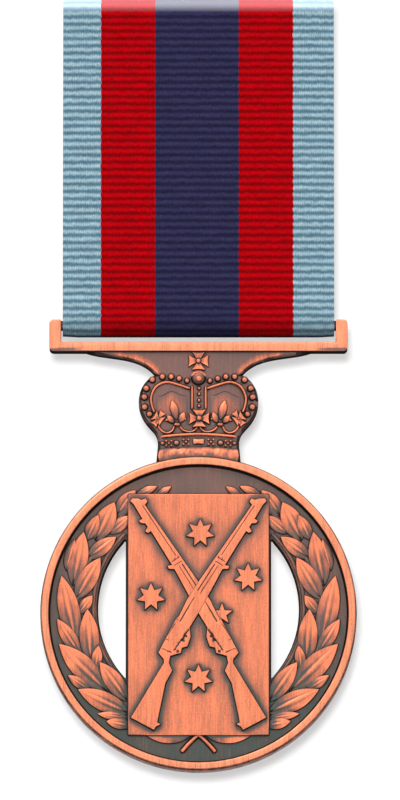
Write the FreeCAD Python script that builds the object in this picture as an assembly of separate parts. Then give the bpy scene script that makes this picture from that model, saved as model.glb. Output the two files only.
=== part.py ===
import FreeCAD, Part
import math
import os

# A service medal hung from a ribbon on a pin-back brooch. Millimetres, +Z up, the medal's face looks to -Y.
# The origin is the middle of the brooch pin's shank; the whole medal hangs below it.

# brooch plate, inside the ribbon's top fold
plate_width = 30.0
plate_height = 8.0
plate_thick = 1.2
plate_to_pin = 2.6          # from the plate's back face to the pin's axis

# brooch pin, its hinge and its safety catch
pin_radius = 0.45
pin_taper_radius = 0.38
pin_hinge_x = -13.2
catch_x = 12.6
catch_length = 1.6
eye_radius = 1.05
eye_length = 1.1
rivet_radius = 0.4
rivet_running_gap = 0.02
hinge_side_gap = 0.05
ear_thick = 1.0
rivet_head_radius = 0.75
rivet_head_thick = 0.3
catch_bore_radius = 1.2
catch_wall = 0.35
roller_running_gap = 0.03
roller_bore_radius = 0.62
catch_slot = 1.3
roller_flange = 0.3
roller_end_gap = 0.1
lever_reach = 2.1

# ribbon: a flattened loop round the brooch plate above and the suspender's rail below
ribbon_width = 32.5
ribbon_thick = 0.5
ribbon_gap = 0.3            # air between the ribbon and what it wraps
ribbon_drop_length = 37.67  # from the plate's rounded top edge to the suspender rail
ribbon_bend_gap = 0.9       # between the still head and the swinging drop
lap_top = 9.0               # the sewn overlap behind, measured below the bend
lap_length = 8.0
stitch_count = 9

# suspender: slotted bar that hangs on the ribbon
rail_radius = 0.6
slot_side_gap = 0.31        # between ribbon and end post
post_width = 1.39
slot_height = 1.54          # open height below the rail
lower_rail_height = 1.13
bar_corner = 0.5

# medal, counted along Y from the suspender rail's middle plane (minus is towards the face)
back_level = 1.15
bar_level = -1.35
yoke_level = -0.75
field_level = -0.6
rim_level = -1.8
plaque_level = -1.15
relief_step = 0.4

# yoke and crown
yoke_height = 2.8
yoke_half_span = 13.5
crown_width = 14.3
crown_height = 10.0         # from the disc's top to the crown's shoulders

# disc
disc_radius = 19.0
rim_width = 1.0
rim_edge = 0.25
opening_radius = 12.2
opening_rise = 0.7
ledge_width = 0.45
plaque_width = 17.0
plaque_corner_gap = 1.1
plaque_drop = 0.1
plaque_side_gap = 0.2       # strip of opening wall beside the plaque

# places worked out from the sizes above
mid_y = -plate_to_pin - plate_thick / 2
loop_inner = plate_thick / 2 + ribbon_gap
loop_outer = loop_inner + ribbon_thick
fold_z = plate_height / 2 - plate_thick / 2
rail_z = fold_z - ribbon_drop_length
bend_z = -plate_height / 2 - 0.6
bar_top = rail_z + rail_radius
slot_bottom = rail_z - rail_radius - slot_height
bar_bottom = slot_bottom - lower_rail_height
slot_half = ribbon_width / 2 + slot_side_gap
bar_half = slot_half + post_width
shoulder_z = bar_bottom - yoke_height
disc_top = shoulder_z - crown_height
disc_z = disc_top - disc_radius
field_radius = disc_radius - rim_width
plaque_half_height = math.sqrt((field_radius - plaque_corner_gap) ** 2 - (plaque_width / 2) ** 2)
crown_unit = crown_width / 14.3
crown_rise = crown_height / 10.0
relief_unit = field_radius / 18.0
rifle_unit = min(plaque_width / 17.0, plaque_half_height / 14.7)

os.makedirs("parts", exist_ok=True)


def save(name, shape):
    shape.exportStep("parts/" + name + ".step")


def spot(x, z, level):
    """A point on the medal: x and z as given, level counted from the rail's middle plane."""
    return FreeCAD.Vector(x, mid_y + level, z)


def box(x0, x1, y0, y1, z0, z1):
    return Part.makeBox(x1 - x0, y1 - y0, z1 - z0, FreeCAD.Vector(x0, y0, z0))


def raised(edges, thick):
    """A flat outline raised towards the face by thick."""
    face = Part.Face(Part.Wire(Part.__sortEdges__(edges)))
    return face.extrude(FreeCAD.Vector(0, -thick, 0))


def plate(points, level, thick):
    """A straight-sided outline of (x, z) points, raised from level."""
    corners = [spot(x, z, level) for x, z in points]
    return raised([Part.makeLine(a, b) for a, b in zip(corners, corners[1:] + corners[:1])], thick)


def curve(points, level):
    line = Part.BSplineCurve()
    line.interpolate([spot(x, z, level) for x, z in points])
    return line


def wire_strip(points, width, level, thick):
    """A narrow raised wire of even width that follows a smooth curve through the points."""
    middle = curve(points, level)
    sides = [[], []]
    count = 2 * len(points) + 1
    for i in range(count):
        t = middle.FirstParameter + (middle.LastParameter - middle.FirstParameter) * i / (count - 1)
        here = middle.value(t)
        along = middle.tangent(t)[0]
        for side, sign in zip(sides, (0.5, -0.5)):
            side.append((here.x - along.z * width * sign, here.z + along.x * width * sign))
    left = curve(sides[0], level)
    right = curve(sides[1], level)
    ends = [Part.makeLine(left.StartPoint, right.StartPoint), Part.makeLine(left.EndPoint, right.EndPoint)]
    return raised([left.toShape(), right.toShape()] + ends, thick)


def leaf(base, tip, width, level, thick):
    """A pointed leaf between two arcs."""
    (x0, z0), (x1, z1) = base, tip
    length = math.hypot(x1 - x0, z1 - z0)
    nx = -(z1 - z0) / length * width / 2
    nz = (x1 - x0) / length * width / 2
    mx = (x0 + x1) / 2
    mz = (z0 + z1) / 2
    a = spot(x0, z0, level)
    b = spot(x1, z1, level)
    one = Part.Arc(a, spot(mx + nx, mz + nz, level), b).toShape()
    two = Part.Arc(b, spot(mx - nx, mz - nz, level), a).toShape()
    return raised([one, two], thick)


def pearl(x, z, radius, level):
    """Half a ball, flat on the level it sits on."""
    return Part.makeSphere(radius, spot(x, z, level), FreeCAD.Vector(0, -1, 0), 0, 90, 360)


def star(x, z, radius, inner, points, level, thick):
    rays = []
    for i in range(2 * points):
        angle = math.pi / 2 + math.pi * i / points
        reach = radius if i % 2 == 0 else inner
        rays.append((x + reach * math.cos(angle), z + reach * math.sin(angle)))
    return plate(rays, level, thick)


def cross_pattee(x, z, span_x, span_z, level, thick):
    """Four arms that widen outwards, with curved sides drawn as straight chords."""
    waist = 0.2
    flare = 0.62
    outline = []
    for turn in range(4):
        angle = math.pi / 2 * turn
        for u, v in ((waist, waist), (1.0, flare * 0.8), (1.0, -flare * 0.8), (waist, -waist)):
            outline.append((
                x + span_x * (u * math.cos(angle) + v * math.sin(angle)),
                z + span_z * (u * math.sin(angle) - v * math.cos(angle)),
            ))
    outline = [p for i, p in enumerate(outline) if i % 4 != 3]
    return plate(outline[::-1], level, thick)


def mirrored(shape):
    return shape.mirror(FreeCAD.Vector(0, 0, 0), FreeCAD.Vector(1, 0, 0))


def one_solid(shapes):
    fused = shapes[0].multiFuse(shapes[1:]).removeSplitter() if len(shapes) > 1 else shapes[0]
    return fused


def group(shapes):
    return Part.makeCompound([s for shape in shapes for s in shape.Solids])


# brooch: plate, hinge block, rivet, pin, catch post and safety catch

def brooch_plate():
    flat = box(-plate_width / 2, plate_width / 2, mid_y - plate_thick / 2, mid_y + plate_thick / 2,
               -plate_height / 2, plate_height / 2)
    long_edges = [e for e in flat.Edges if abs(e.Length - plate_width) < 1e-6]
    return flat.makeFillet(plate_thick / 2 - 0.01, long_edges)


def hinge_block():
    foot_y = -plate_to_pin
    half_z = eye_length / 2 + hinge_side_gap + ear_thick
    body = box(pin_hinge_x - eye_radius, pin_hinge_x + eye_radius, foot_y, 0, -half_z, half_z)
    ears = Part.makeCylinder(eye_radius, 2 * half_z, FreeCAD.Vector(pin_hinge_x, 0, -half_z))
    gap = eye_length / 2 + hinge_side_gap
    space = box(pin_hinge_x - 2, pin_hinge_x + 2, -eye_radius - hinge_side_gap, 2, -gap, gap)
    hole = Part.makeCylinder(rivet_radius, 2 * half_z, FreeCAD.Vector(pin_hinge_x, 0, -half_z))
    return body.fuse(ears).cut(space).cut(hole).removeSplitter()


def hinge_rivet():
    half_z = eye_length / 2 + hinge_side_gap + ear_thick
    shank = Part.makeCylinder(rivet_radius, 2 * half_z, FreeCAD.Vector(pin_hinge_x, 0, -half_z))
    head = Part.makeCylinder(rivet_head_radius, rivet_head_thick, FreeCAD.Vector(pin_hinge_x, 0, half_z))
    foot = Part.makeCylinder(rivet_head_radius, rivet_head_thick,
                             FreeCAD.Vector(pin_hinge_x, 0, -half_z - rivet_head_thick))
    return one_solid([shank, head, foot])


def brooch_pin():
    along = FreeCAD.Vector(1, 0, 0)
    shank_end = catch_x - 1.6
    catch_end = catch_x + catch_length + 0.2
    eye = Part.makeCylinder(eye_radius, eye_length, FreeCAD.Vector(pin_hinge_x, 0, -eye_length / 2))
    shank = Part.makeCylinder(pin_radius, shank_end - pin_hinge_x, FreeCAD.Vector(pin_hinge_x, 0, 0), along)
    taper = Part.makeCone(pin_radius, pin_taper_radius, catch_end - shank_end,
                          FreeCAD.Vector(shank_end, 0, 0), along)
    point = Part.makeCone(pin_taper_radius, 0.06, 1.4, FreeCAD.Vector(catch_end, 0, 0), along)
    bore = Part.makeCylinder(rivet_radius + rivet_running_gap, eye_length + 2,
                             FreeCAD.Vector(pin_hinge_x, 0, -eye_length / 2 - 1))
    return one_solid([eye, shank, taper, point]).cut(bore)


def catch_slot_cut(x0, x1):
    """The way in for the pin, open to the back."""
    return box(x0, x1, 0, 3, -catch_slot / 2, catch_slot / 2)


def catch_post():
    along = FreeCAD.Vector(1, 0, 0)
    outer = catch_bore_radius + catch_wall
    ring = Part.makeCylinder(outer, catch_length, FreeCAD.Vector(catch_x, 0, 0), along)
    foot = box(catch_x, catch_x + catch_length, -plate_to_pin, 0, -outer * 0.75, outer * 0.75)
    bore = Part.makeCylinder(catch_bore_radius, catch_length + 2, FreeCAD.Vector(catch_x - 1, 0, 0), along)
    return ring.fuse(foot).cut(bore).cut(catch_slot_cut(catch_x - 1, catch_x + catch_length + 1))


def catch_roller():
    along = FreeCAD.Vector(1, 0, 0)
    start = catch_x - roller_end_gap - roller_flange
    length = catch_length + 2 * (roller_end_gap + roller_flange)
    tube_radius = catch_bore_radius - roller_running_gap
    tube = Part.makeCylinder(tube_radius, length, FreeCAD.Vector(start, 0, 0), along)
    flange_radius = catch_bore_radius + catch_wall
    ends = [Part.makeCylinder(flange_radius, roller_flange, FreeCAD.Vector(x, 0, 0), along)
            for x in (start, start + length - roller_flange)]
    lever = box(start + length - roller_flange, start + length, 0.9, lever_reach, -0.45, 0.45)
    lever.rotate(FreeCAD.Vector(0, 0, 0), along, -60)
    bore = Part.makeCylinder(roller_bore_radius, length + 2, FreeCAD.Vector(start - 1, 0, 0), along)
    solid = one_solid([tube, lever] + ends)
    return solid.cut(bore).cut(catch_slot_cut(start - 1, start + length + 1))


# ribbon

def ribbon_loop(radius, half_width):
    """The closed stadium shape that a face of the ribbon's loop bounds."""
    straight = box(-half_width, half_width, mid_y - radius, mid_y + radius, rail_z, fold_z)
    top = Part.makeCylinder(radius, 2 * half_width, FreeCAD.Vector(-half_width, mid_y, fold_z),
                            FreeCAD.Vector(1, 0, 0))
    bottom = Part.makeCylinder(radius, 2 * half_width, FreeCAD.Vector(-half_width, mid_y, rail_z),
                               FreeCAD.Vector(1, 0, 0))
    return one_solid([straight, top, bottom])


def slit(x0, x1, half_z):
    """A window in the ribbon's back run, where a brooch fitting stands through."""
    return box(x0 - ribbon_gap, x1 + ribbon_gap, mid_y + loop_inner / 2, mid_y + loop_outer + 1,
               -half_z - ribbon_gap, half_z + ribbon_gap)


def ribbon_parts():
    band = ribbon_loop(loop_outer, ribbon_width / 2).cut(ribbon_loop(loop_inner, ribbon_width / 2 + 1))
    wide = ribbon_width
    above = box(-wide, wide, mid_y - 5, mid_y + 5, bend_z, fold_z + 10)
    below = box(-wide, wide, mid_y - 5, mid_y + 5, rail_z - 10, bend_z - ribbon_bend_gap)
    hinge_half = eye_length / 2 + hinge_side_gap + ear_thick + rivet_head_thick
    hinge_slit = slit(pin_hinge_x - eye_radius, pin_hinge_x + eye_radius, hinge_half)
    catch_slit = slit(catch_x, catch_x + catch_length, catch_bore_radius + catch_wall)
    head = band.common(above).cut(hinge_slit).cut(catch_slit)
    lap = box(-ribbon_width / 2, ribbon_width / 2, mid_y + loop_outer, mid_y + loop_outer + ribbon_thick,
              bend_z - lap_top - lap_length, bend_z - lap_top)
    drop = band.common(below).fuse(lap).removeSplitter()
    return head, drop


def ribbon_stitching():
    """Two rows of thread across the lap, top and bottom."""
    pitch = ribbon_width / stitch_count
    face = mid_y + loop_outer + ribbon_thick
    stitches = []
    for z in (bend_z - lap_top - 1.2, bend_z - lap_top - lap_length + 1.2):
        for i in range(stitch_count):
            x = -ribbon_width / 2 + pitch * (i + 0.5)
            stitches.append(box(x - pitch * 0.33, x + pitch * 0.33, face, face + 0.2, z - 0.18, z + 0.18))
    return group(stitches)


# suspender

def suspender_rail():
    return Part.makeCylinder(rail_radius, 2 * slot_half, FreeCAD.Vector(-slot_half, mid_y, rail_z),
                             FreeCAD.Vector(1, 0, 0))


def suspender_frame():
    outer = box(-bar_half, bar_half, mid_y + bar_level, mid_y + back_level, bar_bottom, bar_top)
    corners = [e for e in outer.Edges
               if abs(e.Length - (back_level - bar_level)) < 1e-6]
    outer = outer.makeFillet(bar_corner, corners)
    slot = box(-slot_half, slot_half, mid_y - 5, mid_y + 5, slot_bottom, bar_top + 1)
    return outer.cut(slot)


def yoke():
    side = ((-yoke_half_span, bar_bottom), (-yoke_half_span * 0.73, bar_bottom - yoke_height * 0.24),
            (-yoke_half_span * 0.52, bar_bottom - yoke_height * 0.5), (-5.2 * crown_unit, shoulder_z))
    left = curve(side, back_level)
    right = curve([(-x, z) for x, z in side], back_level)
    top = Part.makeLine(left.StartPoint, right.StartPoint)
    foot = Part.makeLine(left.EndPoint, right.EndPoint)
    return raised([left.toShape(), right.toShape(), top, foot], back_level - yoke_level)


def yoke_cross():
    z = shoulder_z + yoke_height * 0.54
    return cross_pattee(0, z, 1.2, 1.1, yoke_level, relief_step)


# crown: x and z here are counted from the middle of the disc's top edge, at the crown's design size

def crown_at(x, z):
    return x * crown_unit, disc_top + z * crown_rise


def crown_plate():
    side = [crown_at(x, z) for x, z in
            ((-5.2, 10.0), (-6.5, 9.0), (-7.2, 6.6), (-6.8, 5.0), (-5.9, 3.7), (-5.05, 2.6),
             (-4.9, 1.3), (-5.1, -1.0))]
    left = curve(side, back_level)
    right = curve([(-x, z) for x, z in side], back_level)
    top = Part.makeLine(left.StartPoint, right.StartPoint)
    foot = Part.makeLine(left.EndPoint, right.EndPoint)
    body = raised([left.toShape(), right.toShape(), top, foot], back_level - yoke_level)
    return body.cut(disc_blank(disc_radius, back_level + 1, rim_level - 1))


def crown_pearls(sign):
    places = ((1.38, 9.1), (2.33, 9.35), (3.3, 9.5), (4.35, 9.45), (5.4, 9.05),
              (6.15, 8.16), (6.5, 7.1), (6.46, 5.95), (5.9, 5.0))
    return group([pearl(sign * x * crown_unit, disc_top + z * crown_rise, 0.42 * crown_unit, yoke_level)
                  for x, z in places])


def crown_arches():
    wire = [crown_at(x, z) for x, z in
            ((0.95, 8.0), (2.2, 8.55), (3.85, 8.9), (5.1, 8.35), (5.68, 7.1), (5.4, 5.45))]
    right = wire_strip(wire, 0.34 * crown_unit, yoke_level, relief_step)
    return group([right, mirrored(right)])


def crown_centre():
    x, z0 = crown_at(0.82, 5.75)
    z1 = crown_at(0, 8.5)[1]
    half = 0.13 * crown_unit
    post = plate(((x - half, z0), (x + half, z0), (x + half, z1), (x - half, z1)), yoke_level, relief_step)
    return group([post, mirrored(post)])


def crown_centre_pearls():
    heights = (8.2, 7.45, 6.7, 5.95)
    return group([pearl(0, crown_at(0, z)[1], 0.3 * crown_rise, yoke_level) for z in heights])


def crown_orb():
    x, z = crown_at(0, 9.38)
    ball = pearl(x, z, 0.92 * crown_rise, yoke_level)
    return ball.cut(yoke_cross())


def crown_front_cross():
    x, z = crown_at(0, 4.6)
    return cross_pattee(x, z, 1.18 * crown_unit, 1.08 * crown_rise, yoke_level, relief_step)


def crown_fleurs():
    petals = []
    for base, tip, width in (((2.62, 4.15), (3.2, 6.6), 0.95), ((2.85, 4.1), (3.75, 5.2), 0.5),
                             ((2.4, 4.1), (1.6, 5.1), 0.5)):
        petals.append(leaf(crown_at(*base), crown_at(*tip), width * crown_unit, yoke_level, relief_step))
    x, z = crown_at(2.6, 3.95)
    petals.append(pearl(x, z, 0.36 * crown_unit, yoke_level))
    right = one_solid(petals)
    return group([right, mirrored(right)])


def crown_side_crosses():
    x, z = crown_at(4.85, 4.5)
    cross = cross_pattee(x, z, 0.62 * crown_unit, 0.95 * crown_rise, yoke_level, relief_step)
    return group([cross, mirrored(cross)])


def crown_swags():
    swags = []
    for x0, x1, sag in ((0.25, 2.2, 2.85), (2.75, 4.6, 2.8)):
        mid = (x0 + x1) / 2
        wire = [crown_at(x, z) for x, z in ((x0, 3.35), (mid, sag), (x1, 3.35))]
        strip = wire_strip(wire, 0.28 * crown_unit, yoke_level, relief_step)
        swags += [strip, mirrored(strip)]
    return group(swags)


def circlet_wire():
    wire = [crown_at(x, z) for x, z in ((-4.5, 2.25), (0, 2.55), (4.5, 2.25))]
    return wire_strip(wire, 0.3 * crown_unit, yoke_level, relief_step)


def circlet_jewels():
    jewels = []
    for x, z, r in ((4.2, 1.5, 0.28), (2.65, 1.58, 0.4)):
        for sign in (-1, 1):
            px, pz = crown_at(sign * x, z)
            jewels.append(pearl(px, pz, r * crown_unit, yoke_level))
    for x, z in ((3.45, 1.54), (1.5, 1.63)):
        for sign in (-1, 1):
            for dx, dz in ((0, 0), (0.25, 0.25), (-0.25, 0.25), (0.25, -0.25), (-0.25, -0.25)):
                px, pz = crown_at(sign * x + dx, z + dz)
                jewels.append(pearl(px, pz, 0.12 * crown_unit, yoke_level))
    bar = [crown_at(x, z) for x, z in ((-0.62, 1.4), (0.62, 1.4), (0.62, 1.95), (-0.62, 1.95))]
    jewels.append(plate(bar, yoke_level, relief_step * 0.8))
    return group(jewels)


def ermine_band():
    band = wire_strip([crown_at(x, z) for x, z in ((-4.75, 0.2), (0, 0.55), (4.75, 0.2))],
                      0.95 * crown_rise, yoke_level, relief_step * 1.4)
    return band.cut(disc_blank(disc_radius, back_level + 1, rim_level - 1))


# disc

def disc_blank(radius, back, front, x=0.0, z=0.0):
    """A round blank about the disc's axis, or about a place off it, between two levels."""
    return Part.makeCylinder(radius, back - front, spot(x, disc_z + z, back), FreeCAD.Vector(0, -1, 0))


def opening_cutter(grow, back, front):
    """Both lens-shaped openings: a circle less the strip that the plaque covers."""
    rounded = disc_blank(opening_radius * relief_unit + grow, back, front, 0, opening_rise)
    strip_half = plaque_width / 2 + plaque_side_gap - grow
    strip = box(-strip_half, strip_half, mid_y - 10, mid_y + 10, disc_z - 30, disc_z + 30)
    return rounded.cut(strip)


def disc_field():
    blank = disc_blank(field_radius, back_level, field_level)
    return blank.cut(opening_cutter(0, back_level + 1, field_level - 1))


def rim_ring():
    ring = disc_blank(disc_radius, back_level, rim_level)
    outer = [e for e in ring.Edges if abs(e.Length - 2 * math.pi * disc_radius) < 1e-3]
    ring = ring.makeFillet(rim_edge, outer)
    return ring.cut(disc_blank(field_radius, back_level + 1, rim_level - 1))


def centre_plaque():
    half = plaque_width / 2
    bottom = disc_z - plaque_drop - plaque_half_height
    top = bottom + 2 * plaque_half_height
    return plate([(-half, bottom), (half, bottom), (half, top), (-half, top)],
                 field_level, field_level - plaque_level)


# base x, base z, tip x, tip z, width of each leaf of the left wreath, from the disc's centre
wreath_leaves = (
    (-12.4, 8.9, -10.1, 13.5, 2.1), (-8.2, 11.9, -9.3, 14.3, 1.2), (-10.5, 9.9, -8.2, 11.8, 1.3),
    (-13.46, 6.7, -9.9, 9.3, 1.7), (-15.1, 3.4, -13.8, 9.9, 2.2), (-14.8, 1.7, -11.8, 6.8, 2.1),
    (-14.7, -3.5, -16.5, 4.5, 2.5), (-14.4, 0.0, -12.8, 2.3, 1.3), (-12.9, -5.9, -13.35, 0.5, 2.2),
    (-14.2, -5.0, -16.9, -0.6, 1.6), (-10.9, -9.4, -16.7, -3.7, 2.6), (-12.6, -6.3, -12.1, -3.9, 1.0),
    (-8.4, -10.3, -11.9, -5.8, 2.0), (-12.9, -9.3, -15.7, -7.5, 1.2), (-8.3, -11.9, -14.5, -9.2, 2.2),
    (-8.3, -12.4, -12.1, -12.1, 0.9), (-8.3, -13.2, -11.0, -12.9, 0.9),
)
wreath_stem = ((-8.4, -13.0), (-12.2, -8.6), (-14.6, -3.2), (-14.4, 3.0), (-11.6, 9.2), (-8.4, 12.6))


def beside_plaque(side, x, z):
    """A place on one side of the disc: it grows with the disc, but follows the plaque's edge near it."""
    design_half = 8.5
    follow_width = 3.5
    nearness = min(max((x + design_half + follow_width) / follow_width, 0.0), 1.0)
    edge_shift = design_half * relief_unit - plaque_width / 2
    return side * (x * relief_unit + edge_shift * nearness), disc_z + z * relief_unit


def wreath(side):
    """One side of the wreath: leaves on a curved stem, cut back at the plaque and the opening."""
    shapes = []
    for x0, z0, x1, z1, width in wreath_leaves:
        base = beside_plaque(side, x0, z0)
        tip = beside_plaque(side, x1, z1)
        shapes.append(leaf(base, tip, width * relief_unit, field_level, relief_step))
    stem = [beside_plaque(side, x, z) for x, z in wreath_stem]
    shapes.append(wire_strip(stem, 0.7 * relief_unit, field_level, relief_step * 0.75))
    leaves = one_solid(shapes)
    leaves = leaves.common(disc_blank(field_radius - 0.15, back_level, rim_level))
    half = plaque_width / 2
    inner = box(-half, half, mid_y - 10, mid_y + 10, disc_z - 30, disc_z + 30)
    return leaves.cut(inner).cut(opening_cutter(0, back_level + 1, rim_level - 1))


def opening_ledges(wreaths):
    """The narrow raised edge round the curved side of each opening, broken where a leaf lies over it."""
    outer = opening_cutter(ledge_width, field_level, field_level - relief_step * 0.5)
    ring = outer.cut(opening_cutter(0, field_level + 1, rim_level - 1))
    half = plaque_width / 2
    inner = box(-half, half, mid_y - 10, mid_y + 10, disc_z - 30, disc_z + 30)
    return ring.cut([inner] + wreaths)


def sprig():
    """What shows below and above the plaque: the stems' crossed ends and the last leaves."""
    half = plaque_half_height
    stem = [(x * relief_unit, disc_z - half + z * relief_unit) for x, z in
            ((-0.1, 0.0), (-1.0, -0.75), (-2.15, -2.1))]
    right = wire_strip([(-x, z) for x, z in stem], 0.55 * relief_unit, field_level, relief_step)
    left = wire_strip(stem, 0.55 * relief_unit, field_level, relief_step)
    shapes = [left, right]
    for base, tip, width, side in (((-0.96, 0.0), (-6.2, 0.0), 1.9, -1), ((-7.6, -0.2), (-5.0, 0.9), 0.8, 1),
                                   ((-5.0, -0.2), (-3.3, 0.85), 0.7, 1)):
        foot = (base[0] * relief_unit, disc_z + side * half + base[1] * relief_unit)
        end = (tip[0] * relief_unit, disc_z + side * half + tip[1] * relief_unit)
        one = leaf(foot, end, width * relief_unit, field_level, relief_step)
        shapes += [one, mirrored(one)]
    shapes = [s.cut(centre_plaque()) for s in shapes]
    joined = one_solid(shapes)
    return joined.common(disc_blank(field_radius - 0.15, back_level, rim_level))


# outline of the front rifle, muzzle up to the right, from the disc's centre
rifle_outline = (
    (8.25, 13.65), (7.84, 13.25), (6.8, 11.5), (7.2, 11.25), (6.95, 10.95), (6.45, 10.95), (6.15, 10.5),
    (6.45, 9.95), (6.1, 9.75), (5.75, 10.0), (3.2, 5.85), (3.75, 5.75), (3.6, 5.4), (2.9, 5.35),
    (0.18, 0.31), (-1.05, -1.7), (-0.95, -2.9), (-1.35, -4.05), (-2.0, -4.2), (-2.15, -4.85), (-2.75, -5.0),
    (-3.4, -5.2), (-3.57, -6.06), (-3.17, -7.0), (-4.0, -8.5), (-5.0, -13.3), (-4.55, -13.5),
    (-5.15, -13.8), (-5.36, -14.2), (-8.17, -12.7), (-4.18, -6.06), (-4.2, -5.6), (-4.85, -4.82),
    (-3.89, -2.93), (-2.72, -0.69), (-2.35, -0.35), (-1.44, 1.55), (-0.04, 3.77), (6.48, 13.2), (6.15, 13.6),
    (6.4, 13.98), (6.9, 13.8), (7.3, 13.98), (8.05, 13.98),
)


def rifle_front():
    points = [(x * rifle_unit, disc_z + z * rifle_unit) for x, z in rifle_outline]
    return plate(points, plaque_level, relief_step)


def rifle_rear():
    return mirrored(rifle_front()).cut(rifle_front())


def stars():
    """Name, place, size and number of rays of each star on the plaque."""
    kinds = (("star_top", 0.22, 9.8, 1.62, 0.85, 7), ("star_right", 6.0, 4.4, 1.62, 0.85, 7),
             ("star_left", -5.74, 2.0, 1.62, 0.85, 7), ("star_bottom", 0.0, -7.94, 1.62, 0.85, 7),
             ("star_small", 2.84, -0.08, 1.25, 0.52, 5))
    guns = rifle_front().fuse(rifle_rear())
    for name, x, z, reach, inner, rays in kinds:
        shape = star(x * rifle_unit, disc_z + z * rifle_unit, reach * rifle_unit, inner * rifle_unit,
                     rays, plaque_level, relief_step * 0.8)
        yield name, shape.cut(guns)


save("brooch_plate", brooch_plate())
save("pin_hinge_block", hinge_block())
save("hinge_rivet", hinge_rivet())
save("brooch_pin", brooch_pin())
save("catch_post", catch_post())
save("catch_roller", catch_roller())

ribbon_head, ribbon_drop = ribbon_parts()
save("ribbon_head", ribbon_head)
save("ribbon_drop", ribbon_drop)
save("ribbon_stitching", ribbon_stitching())

save("suspender_rail", suspender_rail())
save("suspender_frame", suspender_frame())
save("yoke", yoke())
save("yoke_cross", yoke_cross())

save("crown_plate", crown_plate())
save("crown_pearls_left", crown_pearls(-1))
save("crown_pearls_right", crown_pearls(1))
save("crown_arches", crown_arches())
save("crown_centre_posts", crown_centre())
save("crown_centre_pearls", crown_centre_pearls())
save("crown_orb", crown_orb())
save("crown_front_cross", crown_front_cross())
save("crown_fleurs", crown_fleurs())
save("crown_side_crosses", crown_side_crosses())
save("crown_swags", crown_swags())
save("circlet_wire", circlet_wire())
save("circlet_jewels", circlet_jewels())
save("ermine_band", ermine_band())

wreaths = [wreath(1), wreath(-1)]
save("disc_field", disc_field())
save("rim_ring", rim_ring())
save("centre_plaque", centre_plaque())
save("wreath_left", wreaths[0])
save("wreath_right", wreaths[1])
save("opening_ledges", opening_ledges(wreaths))
save("wreath_sprig", sprig())
save("rifle_front", rifle_front())
save("rifle_rear", rifle_rear())
for star_name, star_shape in stars():
    save(star_name, star_shape)
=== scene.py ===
import math

import bmesh
import bpy
from mathutils import Matrix, Vector, noise
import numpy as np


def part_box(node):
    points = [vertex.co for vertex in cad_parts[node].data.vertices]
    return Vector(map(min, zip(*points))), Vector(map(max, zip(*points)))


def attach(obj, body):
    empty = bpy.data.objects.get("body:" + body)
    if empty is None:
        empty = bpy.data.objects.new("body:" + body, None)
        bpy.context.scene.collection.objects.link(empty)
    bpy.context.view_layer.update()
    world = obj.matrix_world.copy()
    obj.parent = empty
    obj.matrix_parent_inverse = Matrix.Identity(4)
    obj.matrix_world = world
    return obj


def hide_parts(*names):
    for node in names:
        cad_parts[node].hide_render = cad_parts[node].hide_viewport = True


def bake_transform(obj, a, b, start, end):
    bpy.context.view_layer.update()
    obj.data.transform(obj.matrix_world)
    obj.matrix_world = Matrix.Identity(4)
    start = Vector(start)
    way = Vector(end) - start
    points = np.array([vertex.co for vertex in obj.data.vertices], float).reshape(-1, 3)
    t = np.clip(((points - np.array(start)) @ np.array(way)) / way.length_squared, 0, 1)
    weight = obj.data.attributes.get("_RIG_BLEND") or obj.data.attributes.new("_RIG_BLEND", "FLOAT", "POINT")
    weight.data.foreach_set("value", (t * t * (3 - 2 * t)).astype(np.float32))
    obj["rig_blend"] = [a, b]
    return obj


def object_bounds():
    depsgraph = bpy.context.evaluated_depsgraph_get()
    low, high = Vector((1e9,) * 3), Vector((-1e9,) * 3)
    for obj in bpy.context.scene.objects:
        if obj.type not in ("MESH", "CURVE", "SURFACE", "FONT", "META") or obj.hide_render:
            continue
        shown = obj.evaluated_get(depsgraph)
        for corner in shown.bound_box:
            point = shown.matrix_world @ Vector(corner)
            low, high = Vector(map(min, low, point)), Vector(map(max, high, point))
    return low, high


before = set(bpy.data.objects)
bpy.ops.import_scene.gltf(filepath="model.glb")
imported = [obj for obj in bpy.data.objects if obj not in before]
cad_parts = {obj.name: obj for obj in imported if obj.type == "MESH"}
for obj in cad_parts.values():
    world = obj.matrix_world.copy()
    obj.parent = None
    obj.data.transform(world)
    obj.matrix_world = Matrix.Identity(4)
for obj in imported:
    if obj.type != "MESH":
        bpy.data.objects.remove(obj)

cad_low, cad_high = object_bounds()
mm = 0.001


# ---- The view ----
# A long lens looks at the medal's face from a little below it. The ribbon's top fold meets the top
# of the view, and the disc hangs clear of the bottom.
view_height = 96.26 * mm
view_distance = 1.5
view_below = math.radians(8)
look_at = Vector((0.18 * mm, cad_low.y, -43.54 * mm))
lens_data = bpy.data.cameras.new("lens")
lens_data.sensor_width = 36.0
lens_data.lens = lens_data.sensor_width * view_distance / view_height
lens_data.clip_start = 0.05
lens_data.clip_end = 20.0
lens = bpy.data.objects.new("lens", lens_data)
bpy.context.scene.collection.objects.link(lens)
from_below = Vector((0, -math.cos(view_below), -math.sin(view_below)))
lens.location = look_at + from_below * view_distance
lens.rotation_euler = (-from_below).to_track_quat("-Z", "Y").to_euler()
bpy.context.scene.camera = lens


# ---- The studio ----
# White card, bent up in a cove behind the medal far enough back for the medal to swing clear of it.
# Seen from behind, the card lets the camera look through, so that it never hides the medal's back,
# and its near end fades away.

def tint(hex_colour):
    """An sRGB hex colour as linear RGBA."""
    shares = [int(hex_colour[i:i + 2], 16) / 255 for i in (0, 2, 4)]
    return [s / 12.92 if s <= 0.04045 else ((s + 0.055) / 1.055) ** 2.4 for s in shares] + [1.0]


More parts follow.
